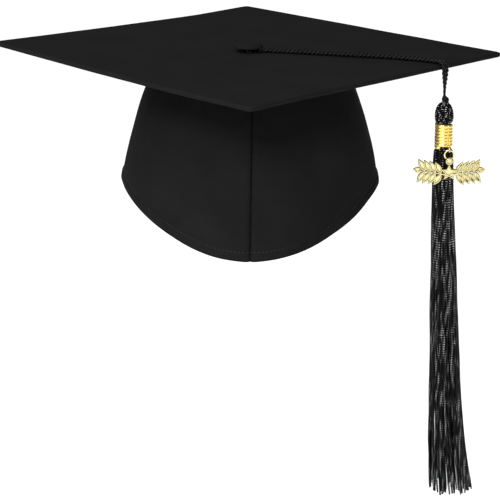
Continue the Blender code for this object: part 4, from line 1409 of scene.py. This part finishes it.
def plaque(name, outline, thickness, sunk=True):
    # a plate standing in the XZ plane: eased edge, raised rim and a face sunk inside it
    face = ringCentre - Vector((0, charm["reach"] * mm, 0))
    half = thickness / 2
    rings = [(outline, half), (outline, -half + 0.35), (inset(outline, charm["edge"]), -half)]
    if sunk:
        rings.append((inset(outline, charm["rim"]), -half))
        rings.append((inset(outline, charm["slope"]), -half + charm["floor"]))
    bm = bmesh.new()
    loops = [[bm.verts.new(face + Vector((x, y, z)) * mm) for x, z in ring] for ring, y in rings]
    count = len(outline)
    for n, (a, b) in enumerate(zip(loops, loops[1:])):
        for i in range(count):
            k = (i + 1) % count
            # painted shade: the outer wall, eased edge and slope into the sunk face take the darker gold; the rim's
            # top, the sunk face and the back stay plain gold
            bm.faces.new((a[i], a[k], b[k], b[i])).material_index = 0 if n == 2 else 1
    bm.faces.new(loops[0])
    bm.faces.new(list(reversed(loops[-1])))
    bmesh.ops.recalc_face_normals(bm, faces=bm.faces)
    if bm.calc_volume(signed=True) < 0:
        bmesh.ops.reverse_faces(bm, faces=bm.faces)
    mesh = bpy.data.meshes.new(name)
    bm.to_mesh(mesh)
    bm.free()
    return addObject(name, mesh, charmGold, charmPaintedShade)


def sprayOutlines():
    # one side's stem and leaves, each leaf a little thicker than the last: no two faces in one plane
    slope = charm["stemRise"] / charm["stemLength"]
    tip = (charm["stemStart"] + charm["stemLength"], charm["stemHeight"] + charm["stemRise"])
    end = (tip[0] + charm["stemEnd"], tip[1] + slope * charm["stemEnd"])
    low = charm["stemHeight"] - slope * charm["stemStart"]
    stem = [(0.5, low - 0.65), (end[0], end[1] - 0.4), (end[0], end[1] + 0.4), (0.5, low + 0.65)]
    leaves = [(tip, math.degrees(math.atan(slope)), charm["tipLeaf"])]
    for i in range(charm["leafPairs"]):
        out = charm["stemLength"] * (i + 0.35) / charm["leafPairs"]
        root = (charm["stemStart"] + out, charm["stemHeight"] + slope * out)
        leaves += [(root, angle, charm["leafLength"]) for angle in charm["leafAngles"]]
    outlines = [(stem, charm["stemThickness"], False)]
    for n, (root, angle, length) in enumerate(leaves):
        leaf = leafOutline(root, angle, length, charm["leafWidth"])
        outlines.append((leaf, charm["thickness"] + 0.05 * n, True))
    return outlines


def makeBail():
    # the small ring cast on the charm's back, through which the jump ring passes
    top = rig.box("charm")[1].z
    centre = Vector((ringCentre.x, jointAt["ring_swing"].y, top - charm["bailDrop"] * mm))
    path = []
    for i in range(32):
        turn = turnOf * i / 32
        path.append(centre + Vector((0, math.cos(turn), math.sin(turn))) * charm["bailRadius"] * mm)
    return roundWire("charmBail", path, charm["bailWire"], 0.25, 10, closed=True)


def makeCharm():
    points = starOutline((0, charm["starAt"]), charm["starRadius"], charm["starInner"])
    star = plaque("laurelCharm", points, charm["starThickness"])
    tab = discOutline((0, charm["tabAt"]), charm["tabRadius"])
    solids = [plaque("charmTab", tab, charm["tabThickness"])]
    for side in (1, -1):
        for outline, deep, sunk in sprayOutlines():
            solids.append(plaque("charmPart", [(side * x, z) for x, z in outline], deep, sunk))
    solids.append(makeBail())
    bm = bmesh.new()
    for solid in [star, *solids]:
        bm.from_mesh(solid.data)
    bm.to_mesh(star.data)
    bm.free()
    for solid in solids:
        bpy.data.objects.remove(solid)
    soften(star, 0.07 * mm, 40)
    applyModifiers(star)
    star.data.set_sharp_from_angle(angle=math.radians(40))
    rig.slot(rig.ride(star, "charm"), "gold")
    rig.replaces(star, "charm")


makeHook()
makeRing()
makeCharm()
print("charm made")

with open("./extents.json", "w") as file:
    json.dump({"cad": [list(corner) for corner in cadBox],
               "visual": [list(corner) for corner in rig.bounds()]}, file)
